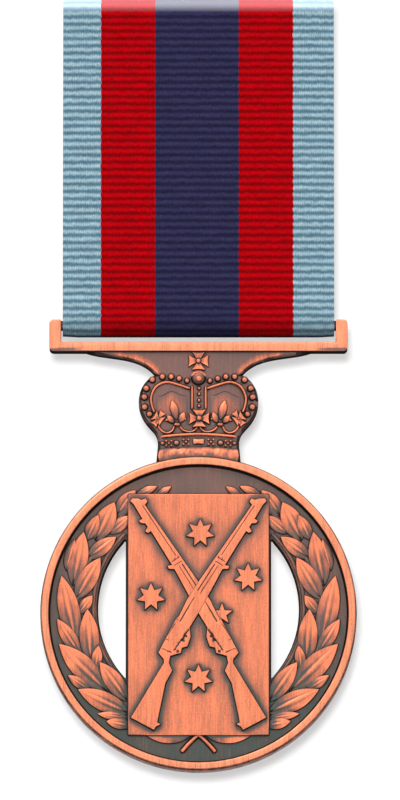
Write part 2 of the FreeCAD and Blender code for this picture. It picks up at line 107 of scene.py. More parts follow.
def add_node(tree, kind, given, output=0):
    """Adds a node and hands back one of its outputs. Each setting or input is given a value, or the
    output of another node to follow."""
    made = tree.nodes.new("ShaderNode" + kind)
    for name, value in given.items():
        if isinstance(value, bpy.types.NodeSocket):
            tree.links.new(value, made.inputs[name])
        elif isinstance(name, str) and hasattr(made, name):
            setattr(made, name, value)
        else:
            made.inputs[name].default_value = value
    return made.outputs[output] if made.outputs else made


def new_material(name):
    """An empty material to be filled with nodes, and its node tree."""
    material = bpy.data.materials.new(name)
    material.use_nodes = True
    material.node_tree.nodes.clear()
    return material, material.node_tree


card_front = -1.4
card_fade = (-1.2, -0.2)
card_back = 75 * mm
card_ground = -320 * mm
card_top = 0.7
card_side = 1.2
card_bend = 60 * mm
bend_steps = 8
card, tree = new_material("white_card")
paper = add_node(tree, "BsdfDiffuse", {"Color": tint("c4c4c4")})
to_camera = add_node(tree, "LightPath", {}, "Is Camera Ray")
from_behind = add_node(tree, "NewGeometry", {}, "Backfacing")
place = add_node(tree, "TexCoord", {}, "Object")
place_y = add_node(tree, "SeparateXYZ", {"Vector": place}, "Y")
near_end = add_node(tree, "MapRange", {"Value": place_y, "From Min": card_fade[0], "From Max": card_fade[1],
                                       "To Min": 1.0, "To Max": 0.0})
unseen = add_node(tree, "Math", {"operation": "MAXIMUM", 0: from_behind, 1: near_end})
unseen = add_node(tree, "Math", {"operation": "MULTIPLY", 0: to_camera, 1: unseen})
clear = add_node(tree, "BsdfTransparent", {})
whole = add_node(tree, "MixShader", {0: unseen, 1: paper, 2: clear})
add_node(tree, "OutputMaterial", {"Surface": whole})

cove = bmesh.new()
front_corners = [cove.verts.new((x, card_front, card_ground)) for x in (card_side, -card_side)]
front_edge = cove.edges.new(front_corners)
route = [(card_back - card_bend, card_ground)]
for step in range(1, bend_steps + 1):
    turn = math.pi / 2 * step / bend_steps
    route.append((card_back - card_bend + card_bend * math.sin(turn),
                  card_ground + card_bend * (1 - math.cos(turn))))
route.append((card_back, card_top))
for y, z in route:
    strip = bmesh.ops.extrude_edge_only(cove, edges=[front_edge])["geom"]
    front_edge = next(g for g in strip if isinstance(g, bmesh.types.BMEdge))
    for corner in front_edge.verts:
        corner.co.y = y
        corner.co.z = z
bmesh.ops.recalc_face_normals(cove, faces=cove.faces)
cove.faces.ensure_lookup_table()
if cove.faces[0].normal.z < 0:
    bmesh.ops.reverse_faces(cove, faces=cove.faces)
card_mesh = bpy.data.meshes.new("white_card")
cove.to_mesh(card_mesh)
cove.free()
card_mesh.materials.append(card)
card_mesh.shade_smooth()
card_object = bpy.data.objects.new("white_card", card_mesh)
bpy.context.scene.collection.objects.link(card_object)

# A broad sky of diffused light, brighter above, and one small lamp close over the lens that throws
# the medal's shadow on the card just below it. A soft box high on the left lights upper edges.
world = bpy.data.worlds.new("studio")
world.use_nodes = True
tree = world.node_tree
tree.nodes.clear()
way = add_node(tree, "TexCoord", {}, "Generated")
way_up = add_node(tree, "SeparateXYZ", {"Vector": way}, "Z")
brighter_above = add_node(tree, "MapRange", {"Value": way_up, "From Min": -0.6, "From Max": 0.6,
                                             "To Min": 0.5, "To Max": 1.3})
to_camera = add_node(tree, "LightPath", {}, "Is Camera Ray")
strength = add_node(tree, "Mix", {"data_type": "FLOAT", 0: to_camera, 2: brighter_above, 3: 1.0})
sky = add_node(tree, "Background", {"Color": tint("ffffff"), "Strength": strength})
add_node(tree, "OutputWorld", {"Surface": sky})
bpy.context.scene.world = world


def lamp(name, kind, watts, place, target, **shape):
    """A lamp that looks at its target and never shows in the view."""
    data = bpy.data.lights.new(name, kind)
    data.energy = watts
    for key, value in shape.items():
        setattr(data, key, value)
    made = bpy.data.objects.new(name, data)
    made.location = place
    made.rotation_euler = (Vector(target) - Vector(place)).to_track_quat("-Z", "Y").to_euler()
    made.visible_camera = False
    bpy.context.scene.collection.objects.link(made)
    return made


middle = Vector((0, 0, -45 * mm))
over_lens = lens.location + Vector((-6 * mm, 0, 20.5 * mm))
high_left = middle + Vector((-0.28, -0.5, 0.5))
key = lamp("key", "POINT", 78, over_lens, middle, shadow_soft_size=12 * mm)
key.visible_glossy = False
lamp("soft_box", "AREA", 1.6, high_left, middle, shape="SQUARE", size=0.4)

bpy.context.scene.view_settings.view_transform = "Standard"


# ---- Ribbon ----
# One length of ribbed silk and cotton, woven in five upright stripes. It folds over the brooch
# plate, hangs double, wraps the suspender's rail, and its two ends are lapped and sewn behind.
# The blue is given twice: as lit on the rib crests, with a painted sheen, and in painted shade in the rib
# valleys.
ribbon_blue = "768a91"
ribbon_blue_in_shade = "5a7f92"
ribbon_red = "8a0006"
ribbon_navy = "23223d"
painted_fold_sheen = "d8dade"
cloth_width = 32.7 * mm
blue_width = 4.75 * mm
red_width = 6.55 * mm
rib_pitch = 0.87 * mm
thread_pitch = 0.27 * mm
cloth_thick = 0.5 * mm
cloth_groove = 0.3 * mm
loop_radius = 1.15 * mm
loop_y = -3.2 * mm
fold_z = 3.4 * mm
fold_lift = 0.88 * mm
rail_z = -34.27 * mm
lap_foot = -21.6 * mm
lap_head = -13.6 * mm
lap_step = 1.4 * mm
slit_margin = 0.3 * mm
bend_start = -4.0 * mm
bend_end = -7.5 * mm

back_run_up = fold_z - lap_foot
half_turn = math.pi * loop_radius
front_run = fold_z - rail_z
back_run = lap_head - rail_z
cloth_length = back_run_up + half_turn + front_run + half_turn + back_run


def marks(tree, place, size, detail=2.0):
    """Uneven marks of about this size, such as threads, scratches or clouds, from 0 to 1."""
    scaled = add_node(tree, "Mapping", {"Vector": place, "Scale": [1 / side for side in size]})
    return add_node(tree, "TexNoise", {"Vector": scaled, "Scale": 1.0, "Detail": detail})


# Grosgrain shows its ribs as soft cross lines, a little uneven, with a painted highlight on the crest
# and painted shade in the valley. Stripes meet in a fine saw edge. A painted sheen whitens the cloth
# along the top fold, and painted shade darkens it where it turns under the rail. Single threads are
# drawn about twice as coarse as the real ones, so that they show.
ribbon_cloth, tree = new_material("ribbon_cloth")
flat = add_node(tree, "UVMap", {})
flat_x = add_node(tree, "SeparateXYZ", {"Vector": flat}, "X")
flat_y = add_node(tree, "SeparateXYZ", {"Vector": flat}, "Y")
uneven = marks(tree, flat, (0.8 * mm, 0.9 * mm, 1.0))
uneven = add_node(tree, "Math", {"operation": "SUBTRACT", 0: uneven, 1: 0.5})
uneven = add_node(tree, "Math", {"operation": "MULTIPLY", 0: uneven, 1: 0.36 * mm})
rib_place = add_node(tree, "Math", {"operation": "ADD", 0: flat_y, 1: uneven})
rib_place = add_node(tree, "Math", {"operation": "MULTIPLY", 0: rib_place, 1: 1 / rib_pitch})
rib_share = add_node(tree, "Math", {"operation": "FRACT", 0: rib_place})
half_wave = add_node(tree, "Math", {"operation": "MULTIPLY", 0: rib_share, 1: math.pi})
rib_crest = add_node(tree, "Math", {"operation": "SINE", 0: half_wave})
crest_share = add_node(tree, "Math", {"operation": "MULTIPLY", 0: rib_crest, 1: rib_crest})

wobble = marks(tree, flat, (40 * mm, 0.6 * mm, 1.0))
saw = add_node(tree, "Math", {"operation": "MULTIPLY", 0: rib_crest, 1: 0.55})
saw = add_node(tree, "Math", {"operation": "ADD", 0: saw, 1: wobble})
saw = add_node(tree, "Math", {"operation": "MULTIPLY", 0: saw, 1: 0.2 * mm})
from_middle = add_node(tree, "Math", {"operation": "ADD", 0: flat_x, 1: saw})
from_middle = add_node(tree, "Math", {"operation": "ABSOLUTE", 0: from_middle})
navy_end = cloth_width / 2 - blue_width - red_width
is_red = add_node(tree, "Math", {"operation": "GREATER_THAN", 0: from_middle, 1: navy_end})
is_blue = add_node(tree, "Math", {"operation": "GREATER_THAN", 0: from_middle, 1: navy_end + red_width})
stripes = add_node(tree, "Mix", {"data_type": "RGBA", 0: is_red, 6: tint(ribbon_navy),
                                 7: tint(ribbon_red)}, 2)
blue = add_node(tree, "Mix", {"data_type": "RGBA", 0: crest_share, 6: tint(ribbon_blue_in_shade),
                              7: tint(ribbon_blue)}, 2)
stripes = add_node(tree, "Mix", {"data_type": "RGBA", 0: is_blue, 6: stripes, 7: blue}, 2)

slant = add_node(tree, "Math", {"operation": "MULTIPLY", 0: rib_share, 1: 0.12 * mm})
slant = add_node(tree, "Math", {"operation": "ADD", 0: flat_x, 1: slant})
slant = add_node(tree, "Math", {"operation": "MULTIPLY", 0: slant, 1: 2 * math.pi / thread_pitch})
thread_wave = add_node(tree, "Math", {"operation": "SINE", 0: slant})
thread_wave = add_node(tree, "Math", {"operation": "MULTIPLY", 0: thread_wave, 1: 0.1})
streak = marks(tree, flat, (0.22 * mm, 0.4 * mm, 1.0), 3.0)
streak = add_node(tree, "Math", {"operation": "MULTIPLY", 0: streak, 1: 0.9})
cloudy = marks(tree, flat, (2.5 * mm, 1.2 * mm, 1.0))
cloudy = add_node(tree, "Math", {"operation": "MULTIPLY", 0: cloudy, 1: 0.35})
threads = add_node(tree, "Math", {"operation": "ADD", 0: thread_wave, 1: streak})
threads = add_node(tree, "Math", {"operation": "ADD", 0: threads, 1: cloudy})
thread_shade = add_node(tree, "MapRange", {"Value": threads, "From Min": 0.35, "From Max": 0.95,
                                           "To Min": 0.62, "To Max": 1.3})
# Painted shade: the rib valleys are darkened and the crests lifted a little.
valley_shade = add_node(tree, "MapRange", {"Value": crest_share, "From Min": 0.1, "From Max": 0.9,
                                           "To Min": 0.52, "To Max": 1.07})
shade = add_node(tree, "Math", {"operation": "MULTIPLY", 0: thread_shade, 1: valley_shade})

fold_start = back_run_up + half_turn
rail_start = fold_start + front_run
# Painted shade: the cloth darkens where it turns under the rail.
off_rail = add_node(tree, "Math", {"operation": "SUBTRACT", 0: flat_y, 1: rail_start + 1.9 * mm})
off_rail = add_node(tree, "Math", {"operation": "ABSOLUTE", 0: off_rail})
rail_shade = add_node(tree, "MapRange", {"Value": off_rail, "From Min": 0.4 * mm, "From Max": 3.0 * mm,
                                         "To Min": 0.35, "To Max": 1.0})
shade = add_node(tree, "Math", {"operation": "MULTIPLY", 0: shade, 1: rail_shade})
# Painted highlight: along the top fold the cloth is brightened and mixed towards a pale painted sheen, less
# on the red.
off_fold = add_node(tree, "Math", {"operation": "ADD", 0: flat_y, 1: 1.5 * mm - fold_start})
off_fold = add_node(tree, "Math", {"operation": "ABSOLUTE", 0: off_fold})
at_fold = add_node(tree, "MapRange", {"Value": off_fold, "From Min": 0.9 * mm, "From Max": 1.9 * mm,
                                      "To Min": 1.0, "To Max": 0.0})
shade = add_node(tree, "Math", {"operation": "ADD", 0: shade, 1: at_fold})
shaded = add_node(tree, "VectorMath", {"operation": "SCALE", 0: stripes, "Scale": shade})
only_red = add_node(tree, "Math", {"operation": "SUBTRACT", 0: is_red, 1: is_blue})
only_red = add_node(tree, "Math", {"operation": "MULTIPLY", 0: only_red, 1: 0.17})
gloss = add_node(tree, "Math", {"operation": "SUBTRACT", 0: 0.32, 1: only_red})
gloss = add_node(tree, "Math", {"operation": "MULTIPLY", 0: at_fold, 1: gloss})
glossed = add_node(tree, "Mix", {"data_type": "RGBA", 0: gloss, 6: shaded, 7: tint(painted_fold_sheen)}, 2)
raised = add_node(tree, "Bump", {"Strength": 0.5, "Distance": 0.04 * mm, "Height": threads})
surface = add_node(tree, "BsdfPrincipled", {"Base Color": glossed, "Roughness": 0.7,
                                            "Specular IOR Level": 0.03, "Normal": raised})
add_node(tree, "OutputMaterial", {"Surface": surface})


def wrap(x, v, w):
    """Where a point of the flat ribbon goes: v along it from the inner end, w off its middle outwards."""
    if v < back_run_up:
        share = min(v / back_run_up, 1)
        return Vector((x, loop_y + loop_radius + w, lap_foot + v + fold_lift * share))
    v -= back_run_up
    if v < half_turn:
        turn = v / loop_radius
        return Vector((x, loop_y + (loop_radius + w) * math.cos(turn),
                       fold_z + fold_lift + (loop_radius + w) * math.sin(turn)))
    v -= half_turn
    if v < front_run:
        share = 1 - v / front_run
        return Vector((x, loop_y - loop_radius - w, fold_z - v + fold_lift * share))
    v -= front_run
    if v < half_turn:
        turn = v / loop_radius
        return Vector((x, loop_y - (loop_radius + w) * math.cos(turn),
                       rail_z - (loop_radius + w) * math.sin(turn)))
    v -= half_turn
    z = rail_z + v
    share = min(max((z - lap_foot + lap_step + 0.3 * mm) / lap_step, 0), 1)
    step_out = (cloth_thick + 0.02 * mm) * share * share * (3 - 2 * share)
    return Vector((x, loop_y + loop_radius + w + step_out, z))


def seat(name, shape, material, body, slot, *stands_for, crease=20):
    """Turns a finished shape into a piece of the medal. It is fixed to a body, unless it bends between
    two, and stands for the plain pieces of the frame that it replaces."""
    bmesh.ops.recalc_face_normals(shape, faces=shape.faces)
    mesh = bpy.data.meshes.new(name)
    shape.to_mesh(mesh)
    shape.free()
    mesh.materials.append(material)
    mesh.shade_smooth()
    mesh.set_sharp_from_angle(angle=math.radians(crease))
    made = bpy.data.objects.new(name, mesh)
    bpy.context.scene.collection.objects.link(made)
    if body:
        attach(made, body)
    if stands_for:
        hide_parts(*stands_for)
    return made


ribs = round(cloth_length / rib_pitch)
steps_per_rib = 8
cloth = bmesh.new()
bmesh.ops.create_grid(cloth, x_segments=10, y_segments=ribs * steps_per_rib, size=0.5)
for corner in cloth.verts:
    corner.co = (corner.co.x * cloth_width, (corner.co.y + 0.5) * cloth_length, 0)
for fittings in (("pin_hinge_block", "hinge_rivet"), ("catch_post",)):
    low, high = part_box(fittings[0])
    left, right = low.x - slit_margin, high.x + slit_margin
    foot = min(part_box(fitting)[0].z for fitting in fittings) - slit_margin - lap_foot
    head = max(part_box(fitting)[1].z for fitting in fittings) + slit_margin - lap_foot
    for point, normal in (((left, 0, 0), (1, 0, 0)), ((right, 0, 0), (1, 0, 0)),
                          ((0, foot, 0), (0, 1, 0)), ((0, head, 0), (0, 1, 0))):
        geom = list(cloth.verts) + list(cloth.edges) + list(cloth.faces)
        bmesh.ops.bisect_plane(cloth, geom=geom, plane_co=point, plane_no=normal, dist=0.0005 * mm)
    slit = []
    for face in cloth.faces:
        centre = face.calc_center_median()
        if left < centre.x < right and foot < centre.y < head:
            slit.append(face)
    bmesh.ops.delete(cloth, geom=slit, context="FACES")
bmesh.ops.solidify(cloth, geom=list(cloth.faces), thickness=cloth_thick)
heights = [corner.co.z for corner in cloth.verts]
middle_w = (max(heights) + min(heights)) / 2
uv = cloth.loops.layers.uv.new("UVMap")
for face in cloth.faces:
    for loop in face.loops:
        loop[uv].uv = (loop.vert.co.x, loop.vert.co.y)
selvedge = cloth_width / 2 - 0.05 * mm
selvedge_thin = 0.55
for corner in cloth.verts:
    x, v, w = corner.co.x, corner.co.y, corner.co.z - middle_w
    crest = abs(math.sin(math.pi * v / rib_pitch)) ** 0.8
    puff = (cloth_groove + (cloth_thick - cloth_groove) * crest) / cloth_thick
    if abs(x) > selvedge:
        puff *= selvedge_thin
    corner.co = wrap(x, v, w * puff)
ribbon = seat("ribbon", cloth, ribbon_cloth, None, "ribbon_cloth", "ribbon_head", "ribbon_drop", crease=60)
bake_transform(ribbon, "brooch", "ribbon", (0, loop_y, bend_start), (0, loop_y, bend_end))


# ---- Stitching ----
# Two rows of pale cotton thread, sewn by hand through both layers of the lap behind. Each stitch
# stands a little proud of the cloth.

def new_relief():
    """An empty shape that can carry wear and painted shade."""
    shape = bmesh.new()
    shape.verts.layers.float.new("wear_and_shade")
    return shape


stitch_count = 9
stitch_pitch = cloth_width / stitch_count
stitch_half = Vector((0.34 * stitch_pitch, 0.16 * mm, 0.17 * mm))
row_inset = 0.18 * mm

# Twisted cotton shows slanting bands of light and shade, and has no shine.
cotton_thread, tree = new_material("cotton_thread")
place = add_node(tree, "TexCoord", {}, "Object")
twist = add_node(tree, "TexWave", {"Vector": place, "Scale": 1 / (0.35 * mm), "Distortion": 1.0,
                                   "bands_direction": "DIAGONAL"}, "Fac")
twist_tone = add_node(tree, "Mix", {"data_type": "RGBA", 0: twist, 6: tint("a9aeb4"), 7: tint("dfe2e4")}, 2)
surface = add_node(tree, "BsdfPrincipled", {"Base Color": twist_tone, "Roughness": 0.85,
                                            "Specular IOR Level": 0.2})
add_node(tree, "OutputMaterial", {"Surface": surface})
stitch_low, stitch_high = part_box("ribbon_stitching")
stitches = new_relief()
for z in (stitch_low.z + row_inset, stitch_high.z - row_inset):
    for i in range(stitch_count):
        x = -cloth_width / 2 + stitch_pitch * (i + 0.5)
        place = Vector((x, stitch_low.y + 0.02 * mm, z))
        for corner in bmesh.ops.create_icosphere(stitches, subdivisions=2, radius=1.0)["verts"]:
            corner.co = place + corner.co * stitch_half
stitching = seat("lap_stitching", stitches, cotton_thread, "ribbon", "thread", "ribbon_stitching", crease=60)


# ---- Suspender ----
# A slotted bar cast in copper-plated bronze, in one with its end posts, and a round rail of the
# same metal that the ribbon wraps. The bar's face is polished, and its under edge near the ends is
# painted dark as shade.
copper_bright = "fb926b"
copper_polished = "ffa078"
copper_warm = "c9684a"
patina_brown = "6e524c"
patina_grey = "414541"
painted_shade_black = "1c1715"
# The brush's fine scratches are drawn wider than the real ones, so that they show.
scratch_size = (0.15 * mm, 0.15 * mm, 2.2 * mm)
brush_size = (1.1 * mm, 1.1 * mm, 9 * mm)
speck_size = (0.2 * mm, 0.2 * mm, 0.2 * mm)
cloud_size = (5 * mm, 5 * mm, 5 * mm)
grey_below = -80 * mm
brown_above = -45 * mm


def antiqued(name, flat_rub, edge_rub, reach, near=0.84, far=0.98, bright=copper_bright):
    """Copper-plated bronze, darkened all over in a sulphide bath and then brushed by hand. High faces
    come up bright salmon with fine upright scratches, and hollows and side walls keep the dark skin,
    which is browner at the top of the medal and greyer at its foot. Side walls and narrow crevices are
    further painted near black as shade. Flat faces and rounded edges are rubbed bright by so much, from
    0 to 1. The metal stays dark within reach of a step, where the open share of its surroundings is
    near, and is clear where that share is far. The attribute "wear_and_shade" brightens or darkens it
    further, as wear or as painted shade."""
    material, tree = new_material(name)
    place = add_node(tree, "TexCoord", {}, "Object")
    facing = add_node(tree, "TexCoord", {}, "Normal")
    facing_y = add_node(tree, "SeparateXYZ", {"Vector": facing}, "Y")
    forward = add_node(tree, "Math", {"operation": "MULTIPLY", 0: facing_y, 1: -1.0})
    turned_front = add_node(tree, "MapRange", {"Value": forward, "From Min": 0.35, "From Max": 0.92})
    rub = add_node(tree, "MapRange", {"Value": forward, "From Min": 0.93, "From Max": 0.995,
                                      "To Min": edge_rub, "To Max": flat_rub})
    front = add_node(tree, "Math", {"operation": "MULTIPLY", 0: turned_front, 1: rub})
    back = add_node(tree, "MapRange", {"Value": facing_y, "From Min": 0.3, "From Max": 0.9, "To Max": 0.62})
    open_to_brush = add_node(tree, "AmbientOcclusion", {"samples": 16, "Distance": reach}, "AO")
    open_to_brush = add_node(tree, "MapRange", {"Value": open_to_brush, "From Min": near, "From Max": far})
    level = add_node(tree, "Math", {"operation": "ADD", 0: front, 1: back})
    level = add_node(tree, "Math", {"operation": "MULTIPLY", 0: level, 1: open_to_brush})
    wear_and_shade = add_node(tree, "Attribute", {"attribute_name": "wear_and_shade"}, "Fac")
    level = add_node(tree, "Math", {"operation": "ADD", 0: level, 1: wear_and_shade})

    scratch = marks(tree, place, scratch_size, 3.0)
    scratch = add_node(tree, "Math", {"operation": "MULTIPLY", 0: scratch, 1: 0.62})
    speck = marks(tree, place, speck_size)
    speck = add_node(tree, "Math", {"operation": "MULTIPLY", 0: speck, 1: 0.38})
    grain = add_node(tree, "Math", {"operation": "ADD", 0: scratch, 1: speck})
    fine = add_node(tree, "MapRange", {"Value": grain, "From Min": 0.3, "From Max": 0.7,
                                       "To Min": -0.26, "To Max": 0.16})
    broad = marks(tree, place, brush_size)
    broad = add_node(tree, "MapRange", {"Value": broad, "From Min": 0.35, "From Max": 0.65,
                                        "To Min": -0.14, "To Max": 0.06})
    mottle = add_node(tree, "Math", {"operation": "ADD", 0: fine, 1: broad})
    level = add_node(tree, "Math", {"operation": "ADD", 0: level, 1: mottle})
    level = add_node(tree, "MapRange", {"Value": level, "From Min": 0.0, "From Max": 1.0})
    crack = add_node(tree, "AmbientOcclusion", {"samples": 10, "Distance": 0.35 * mm}, "AO")
    crack_clean = add_node(tree, "MapRange", {"Value": crack, "From Min": 0.5, "From Max": 0.86})
    level = add_node(tree, "Math", {"operation": "MULTIPLY", 0: level, 1: crack_clean})

    place_z = add_node(tree, "SeparateXYZ", {"Vector": place}, "Z")
    foot_to_top = add_node(tree, "MapRange", {"Value": place_z, "From Min": grey_below,
                                              "From Max": brown_above})
    cloud = marks(tree, place, cloud_size)
    cloud = add_node(tree, "MapRange", {"Value": cloud, "From Min": 0.3, "From Max": 0.7,
                                        "To Min": -0.3, "To Max": 0.3})
    foot_to_top = add_node(tree, "Math", {"operation": "ADD", 0: foot_to_top, 1: cloud})
    foot_to_top = add_node(tree, "MapRange", {"Value": foot_to_top, "From Min": 0.0, "From Max": 1.0})
    skin = add_node(tree, "Mix", {"data_type": "RGBA", 0: foot_to_top, 6: tint(patina_grey),
                                  7: tint(patina_brown)}, 2)
    skin_grain = add_node(tree, "MapRange", {"Value": grain, "From Min": 0.3, "From Max": 0.7,
                                             "To Min": 0.9, "To Max": 1.1})
    skin = add_node(tree, "VectorMath", {"operation": "SCALE", 0: skin, "Scale": skin_grain})
    # Painted shade: side walls, which do not face square on, and narrow crevices are painted near black.
    square_on = add_node(tree, "Math", {"operation": "ABSOLUTE", 0: facing_y})
    square_on = add_node(tree, "MapRange", {"Value": square_on, "From Min": 0.68, "From Max": 0.97})
    clear_of_painted_shade = add_node(tree, "MapRange", {"Value": crack, "From Min": 0.45, "From Max": 0.85})
    clear_of_painted_shade = add_node(tree, "Math", {"operation": "MINIMUM", 0: clear_of_painted_shade, 1: square_on})
    skin = add_node(tree, "Mix", {"data_type": "RGBA", 0: clear_of_painted_shade, 6: tint(painted_shade_black), 7: skin}, 2)
    metal = add_node(tree, "Mix", {"data_type": "RGBA", 0: level, 6: tint(copper_warm), 7: tint(bright)}, 2)
    colour = add_node(tree, "Mix", {"data_type": "RGBA", 0: level, 6: skin, 7: metal}, 2)

    sheen = add_node(tree, "Math", {"operation": "MAXIMUM", 0: square_on, 1: level})
    metallic = add_node(tree, "MapRange", {"Value": level, "From Min": 0.0, "From Max": 1.0, "To Min": 0.5})
    metallic = add_node(tree, "Math", {"operation": "MULTIPLY", 0: metallic, 1: sheen})
    specular = add_node(tree, "Math", {"operation": "MULTIPLY", 0: sheen, 1: 0.5})
    rough = add_node(tree, "MapRange", {"Value": grain, "From Min": 0.3, "From Max": 0.7,
                                        "To Min": 0.46, "To Max": 0.36})
    raised = add_node(tree, "Bump", {"Strength": 0.3, "Distance": 0.015 * mm, "Height": grain})
    surface = add_node(tree, "BsdfPrincipled", {"Base Color": colour, "Metallic": metallic,
                                                "Roughness": rough, "Specular IOR Level": specular,
                                                "Normal": raised})
    add_node(tree, "OutputMaterial", {"Surface": surface})
    return material


def blank_of(node_name):
    """The frame's own solid, with its loose triangles merged and its flat faces made whole."""
    shape = bmesh.new()
    shape.from_mesh(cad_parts[node_name].data)
    shape.verts.layers.float.new("wear_and_shade")
    bmesh.ops.remove_doubles(shape, verts=shape.verts, dist=0.002 * mm)
    bmesh.ops.dissolve_limit(shape, angle_limit=math.radians(1), verts=shape.verts, edges=shape.edges)
    return shape


def ease(shape, width, segments=2, seat_y=None, skip=None):
    """Rounds the sharp edges, but for those on the seat at the back and those that skip names."""
    edges = [e for e in shape.edges if e.is_manifold and e.calc_face_angle() > math.radians(30)]
    if seat_y is not None:
        edges = [e for e in edges if min(v.co.y for v in e.verts) < seat_y - 0.01 * mm]
    if skip:
        edges = [e for e in edges if not skip(e)]
    bmesh.ops.bevel(shape, geom=edges, offset=width, offset_type="OFFSET", segments=segments,
                    affect="EDGES", profile=0.5, material=-1, clamp_overlap=False, loop_slide=True)


def slice_faces(shape, faces, point, normal):
    """Divides these faces of a piece along a plane."""
    geom = faces + list({e for f in faces for e in f.edges}) + list({v for f in faces for v in f.verts})
    bmesh.ops.bisect_plane(shape, geom=geom, plane_co=point, plane_no=normal, dist=0.0005 * mm)


def slice_front(shape, point, normal):
    """Divides a piece's front faces along a plane, so that they can carry a gradual wear or painted shade."""
    slice_faces(shape, [f for f in shape.faces if f.normal.y < -0.99], point, normal)


bright_bronze = antiqued("bronze_relief", 0.98, 1.0, 0.9 * mm)
edge_bronze = antiqued("bronze_polished", 0.98, 1.0, 0.9 * mm, bright=copper_polished)
bar_low, bar_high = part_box("suspender_frame")
shaded_foot = 0.33 * mm
bar = blank_of("suspender_frame")
ease(bar, 0.12 * mm)
for rise in (0.32, 0.5):
    slice_front(bar, (0, 0, bar_low.z + rise * mm), (0, 0, 1))
for x in (-15.6, -14.0, -12.0, 12.0, 14.0, 15.6):
    slice_front(bar, (x * mm, 0, 0), (1, 0, 0))
# Painted shade: near the bar's ends, the strip along its under edge, on its face and its wall, is painted
# dark.
wear_and_shade = bar.verts.layers.float["wear_and_shade"]
for corner in bar.verts:
    if corner.co.z < bar_low.z + shaded_foot and corner.co.y < bar_high.y - 0.01 * mm:
        on_wall = corner.co.y > bar_low.y + 0.05 * mm
        if abs(corner.co.x) > (12 if on_wall else 15) * mm:
            corner[wear_and_shade] = -0.95
seat("suspender_frame_cast", bar, edge_bronze, "medal", "bronze_relief", "suspender_frame")
rail = blank_of("suspender_rail")
seat("suspender_rail_cast", rail, bright_bronze, "medal", "bronze_relief", "suspender_rail", crease=40)


# ---- Yoke and crown back ----
# The dark plate that joins the bar to the crown, and the shaped plate that the crown is struck on.
# The yoke's front is brightened along its curved lower edges, and the side walls of both plates are painted
# black as shade.
dark_bronze = antiqued("bronze_ground", 0.0, 0.2, 1.2 * mm)
crown_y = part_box("crown_plate")[0].y
web_low, web_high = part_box("yoke")
shoulder_z = web_low.z
waist = 4.9 * mm
bright_width = 0.7 * mm
web = blank_of("yoke")


def at_bar_or_crown(edge):
    """Whether an edge of the yoke is one where the bar or the crown carries on."""
    heights = [corner.co.z for corner in edge.verts]
    return max(heights) < shoulder_z + 0.02 * mm or min(heights) > web_high.z - 0.02 * mm


ease(web, 0.36 * mm, segments=1, seat_y=web_high.y, skip=at_bar_or_crown)
bmesh.ops.bisect_plane(web, geom=list(web.verts) + list(web.edges) + list(web.faces), plane_co=(0, 0, 0),
                       plane_no=(1, 0, 0), clear_outer=True)
curve = []
for corner in web.verts:
    if abs(corner.co.x) > waist and corner.co.z < web_high.z - 0.3 * mm and corner.co.y < crown_y + 0.1 * mm:
        curve.append(corner.co.copy())
for half_mm in range(-31, 0):
    slice_front(web, (half_mm * 0.5 * mm, 0, 0), (1, 0, 0))
for quarter_mm in range(1, 12):
    slice_front(web, (0, 0, shoulder_z + quarter_mm * 0.25 * mm), (0, 0, 1))
wear_and_shade = web.verts.layers.float["wear_and_shade"]
for corner in web.verts:
    if corner.co.y < crown_y + 0.02 * mm:
        away = min((corner.co - point).length for point in curve)
        corner[wear_and_shade] = 0.95 * max(0.0, 1 - away / bright_width)
    # Painted shade: the yoke's side walls are painted black.
    elif corner.co.y < web_high.y - 0.02 * mm:
        corner[wear_and_shade] = -1.0
bmesh.ops.mirror(web, geom=list(web.verts) + list(web.edges) + list(web.faces), axis="X",
                 merge_dist=0.005 * mm)
seat("yoke_web", web, dark_bronze, "medal", "bronze_ground", "yoke")


def under_yoke(edge):
    """Whether an edge of the crown's back is one where the yoke carries on."""
    return min(corner.co.z for corner in edge.verts) > shoulder_z - 0.02 * mm


def shade_walls_black(shape, front, back):
    """Paints a plate's side walls black as shade, and leaves its front and back as they are."""
    wear_and_shade = shape.verts.layers.float["wear_and_shade"]
    for corner in shape.verts:
        if front + 0.02 * mm < corner.co.y < back - 0.02 * mm:
            corner[wear_and_shade] = -1.0


crown_back = blank_of("crown_plate")
ease(crown_back, 0.34 * mm, segments=1, seat_y=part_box("crown_plate")[1].y, skip=under_yoke)
# Painted shade: the crown plate's side walls are painted black.
shade_walls_black(crown_back, crown_y, web_high.y)
seat("crown_back", crown_back, dark_bronze, "medal", "bronze_ground", "crown_plate")


# ---- Crown ----
# Struck relief: pearled arches, an orb and a cross above, a ring of fleurs and crosses, a jewelled
# circlet and a lumpy fur band at the foot. All of it is laid out in millimetres from the disc's middle.
disc_low, disc_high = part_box("rim_ring")
disc_z = (disc_low.z + disc_high.z) / 2
crown_rise = 0.17 * mm
draft = 0.09 * mm
sunk = 0.03 * mm
# The draft walls round each raised patch are painted dark as shade.
draft_wall_shade = -0.5


